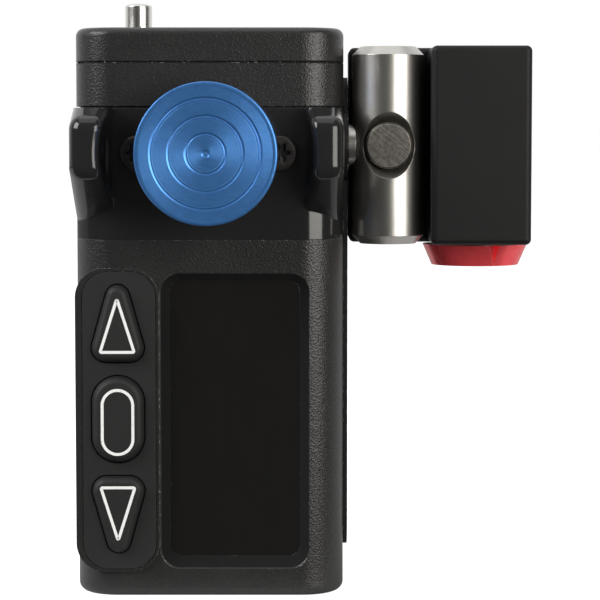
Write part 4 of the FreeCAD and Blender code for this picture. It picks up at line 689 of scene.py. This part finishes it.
def dark_panel():
    """Display panel, switched off, with its faint cell grid."""
    f = Finish("dark panel")
    between, lit = (0.006, 0.006, 0.008), (0.012, 0.012, 0.015)
    radians_per_metre = 40000.0
    x, _, z = f.axes(f.place())
    grid = f.maths("SINE", x * radians_per_metre) * f.maths("SINE", z * radians_per_metre)
    return f.done(Base_Color=f.blend(grid, between, lit), Roughness=0.18 + grid * 0.05)


def white_ink():
    """Screen-printed white ink, a little uneven and rubbed through in spots."""
    f = Finish("white ink")
    thin, full, key_below = (0.78, 0.78, 0.77), (0.94, 0.94, 0.93), (0.10, 0.10, 0.10)
    body = f.noise(0.35, detail=3.0)
    rubbed = f.ramp(f.noise(0.5, detail=4.0), 0.66, 0.74)
    return f.done(Base_Color=f.blend(rubbed * 0.5, f.blend(body, thin, full), key_below),
                  Roughness=0.5 + body * 0.2, Normal=f.bumps(body, 5))


# Studio

def studio():
    """White sweep under and behind the handle, a dim room in front of it, and soft boxes. The
    camera sees white air, mirrored air is dim in front and white behind, and the air that lights
    the handle is grey."""
    white, grey, dim = (1.0, 1.0, 1.0), (0.26, 0.26, 0.26), (0.055, 0.054, 0.052)
    world = bpy.data.worlds.new("studio")
    world.use_nodes = True
    bpy.context.scene.world = world
    f = Finish("studio air", world.node_tree)
    _, depth, _ = f.axes(f.node("TexCoord", output="Generated"))
    room = f.blend(f.ramp(depth, -0.10, 0.55), dim, white)
    air = f.blend(f.ray("Glossy") + f.ray("Transmission"), grey, room)
    air = f.blend(f.ray("Camera"), air, white)
    glow = f.node("Background", sockets={"Color": air, "Strength": 1.0})
    f.node("OutputWorld", sockets={"Surface": glow})
    soft_box("left_soft_box", (-0.58, -0.31, 0.46), (0.44, 0.44), power=4.7, look_at=0.08)
    soft_box("right_soft_box", (0.47, -0.56, 0.24), (0.46, 0.47), power=4.0, look_at=0.24,
             colour=(1.0, 0.97, 0.92))
    soft_box("top_soft_box", (0.0, -0.10, 0.85), (0.8, 0.8), power=2.0, look_at=0.06)
    sweep()


def soft_box(name, place, size, power, look_at, colour=(1.0, 1.0, 1.0)):
    """Rectangular lamp that looks at a height on the upright line through the handle's middle."""
    lamp = bpy.data.lights.new(name, "AREA")
    lamp.shape = "RECTANGLE"
    lamp.size, lamp.size_y = size
    lamp.energy = power
    lamp.color = colour
    box = bpy.data.objects.new(name, lamp)
    handle_x, handle_y = 0.012, -0.01
    aim = np.array((handle_x, handle_y, look_at)) - np.array(place)
    pitch = math.atan2(aim[2], math.hypot(aim[0], aim[1]))
    heading = math.atan2(aim[1], aim[0])
    box.location = place
    box.rotation_euler = (math.pi / 2 + pitch, 0, heading - math.pi / 2)
    link(box)


def sweep():
    """Floor: white to the camera, apart from the share that a shadow takes. It ends a little in
    front of the handle, so that the upright front faces mirror the dim room."""
    front, far, level = -0.024, 4, -2e-5
    mesh = bpy.data.meshes.new("floor")
    corners = [(-far, front, level), (far, front, level), (far, far, level), (-far, far, level)]
    mesh.from_pydata(corners, [], [(0, 1, 2, 3)])
    floor = bpy.data.objects.new("floor", mesh)
    link(floor)
    f = Finish("floor paper")
    tone = f.blend(f.noise(300.0), (0.80, 0.80, 0.80), (0.82, 0.82, 0.82))
    paper = f.node("BsdfDiffuse", sockets={"Color": tone})
    glow = f.node("Emission", sockets={"Color": (1.0, 1.0, 1.0, 1.0),
                                       "Strength": f.ray("Camera") * 0.85})
    both = f.node("AddShader", sockets={0: paper, 1: glow})
    f.node("OutputMaterial", sockets={"Surface": both})
    mesh.materials.append(f.material)


def camera():
    """Long lens at the height of the knob, looking a little down."""
    down = 4.22
    lens = bpy.data.cameras.new("camera")
    lens.sensor_width = 36.0
    lens.lens = 136.9
    lens.clip_start = 0.02
    eye = bpy.data.objects.new("camera", lens)
    eye.location = (0.0162, -0.421, 0.0832)
    eye.rotation_euler = (math.radians(90 - down), 0, 0)
    link(eye)
    bpy.context.scene.camera = eye


# Put the scene together

camera()
studio()

finishes = {
    "powder_coat": powder_coat(),
    "gloss_black": gloss_moulding(),
    "black_anodised": matte_anodised(),
    "blue_anodised": blue_anodised(),
    "red_anodised": red_anodised(),
    "turned_steel": turned_steel(),
    "plated_steel": nickel_plate(),
    "black_steel": black_oxide(),
    "spring_steel": spring_wire(),
    "bronze": bearing_bronze(),
    "black_rubber": silicone(),
    "smoked_window": smoked_glass(),
    "board": circuit_board(),
    "dark_plastic": moulded_plastic(),
    "panel": dark_panel(),
    "white_print": white_ink(),
}
own_finish = {
    "cross_dowel": sawn_steel(),
    "side_mount_plate": matte_anodised("chipped black plate", 1.0),
}

for entry in frame["record"]["subparts"]:
    solid = frame["nodes"][entry["node"]]
    for slot in solid.material_slots:
        slot.material = own_finish.get(entry["node"], finishes[entry["material_slot"]])

made = {
    "blue_anodised": [turned_knob()],
    "plated_steel": [domed_button()],
    "black_steel": star_screws(),
    "spring_steel": [wound_spring()],
    "black_rubber": [],
    "white_print": [],
}
for key, shape in (("up_key", 1), ("select_key", 0), ("down_key", -1)):
    made["black_rubber"].append(soft_key(key, shape, *span(key)))
    made["white_print"].append(printed_mark(key, shape, *span(key)))
for slot_name, pieces in made.items():
    for piece in pieces:
        piece.data.materials.append(finishes[slot_name])

bpy.context.scene.view_settings.view_transform = "Standard"
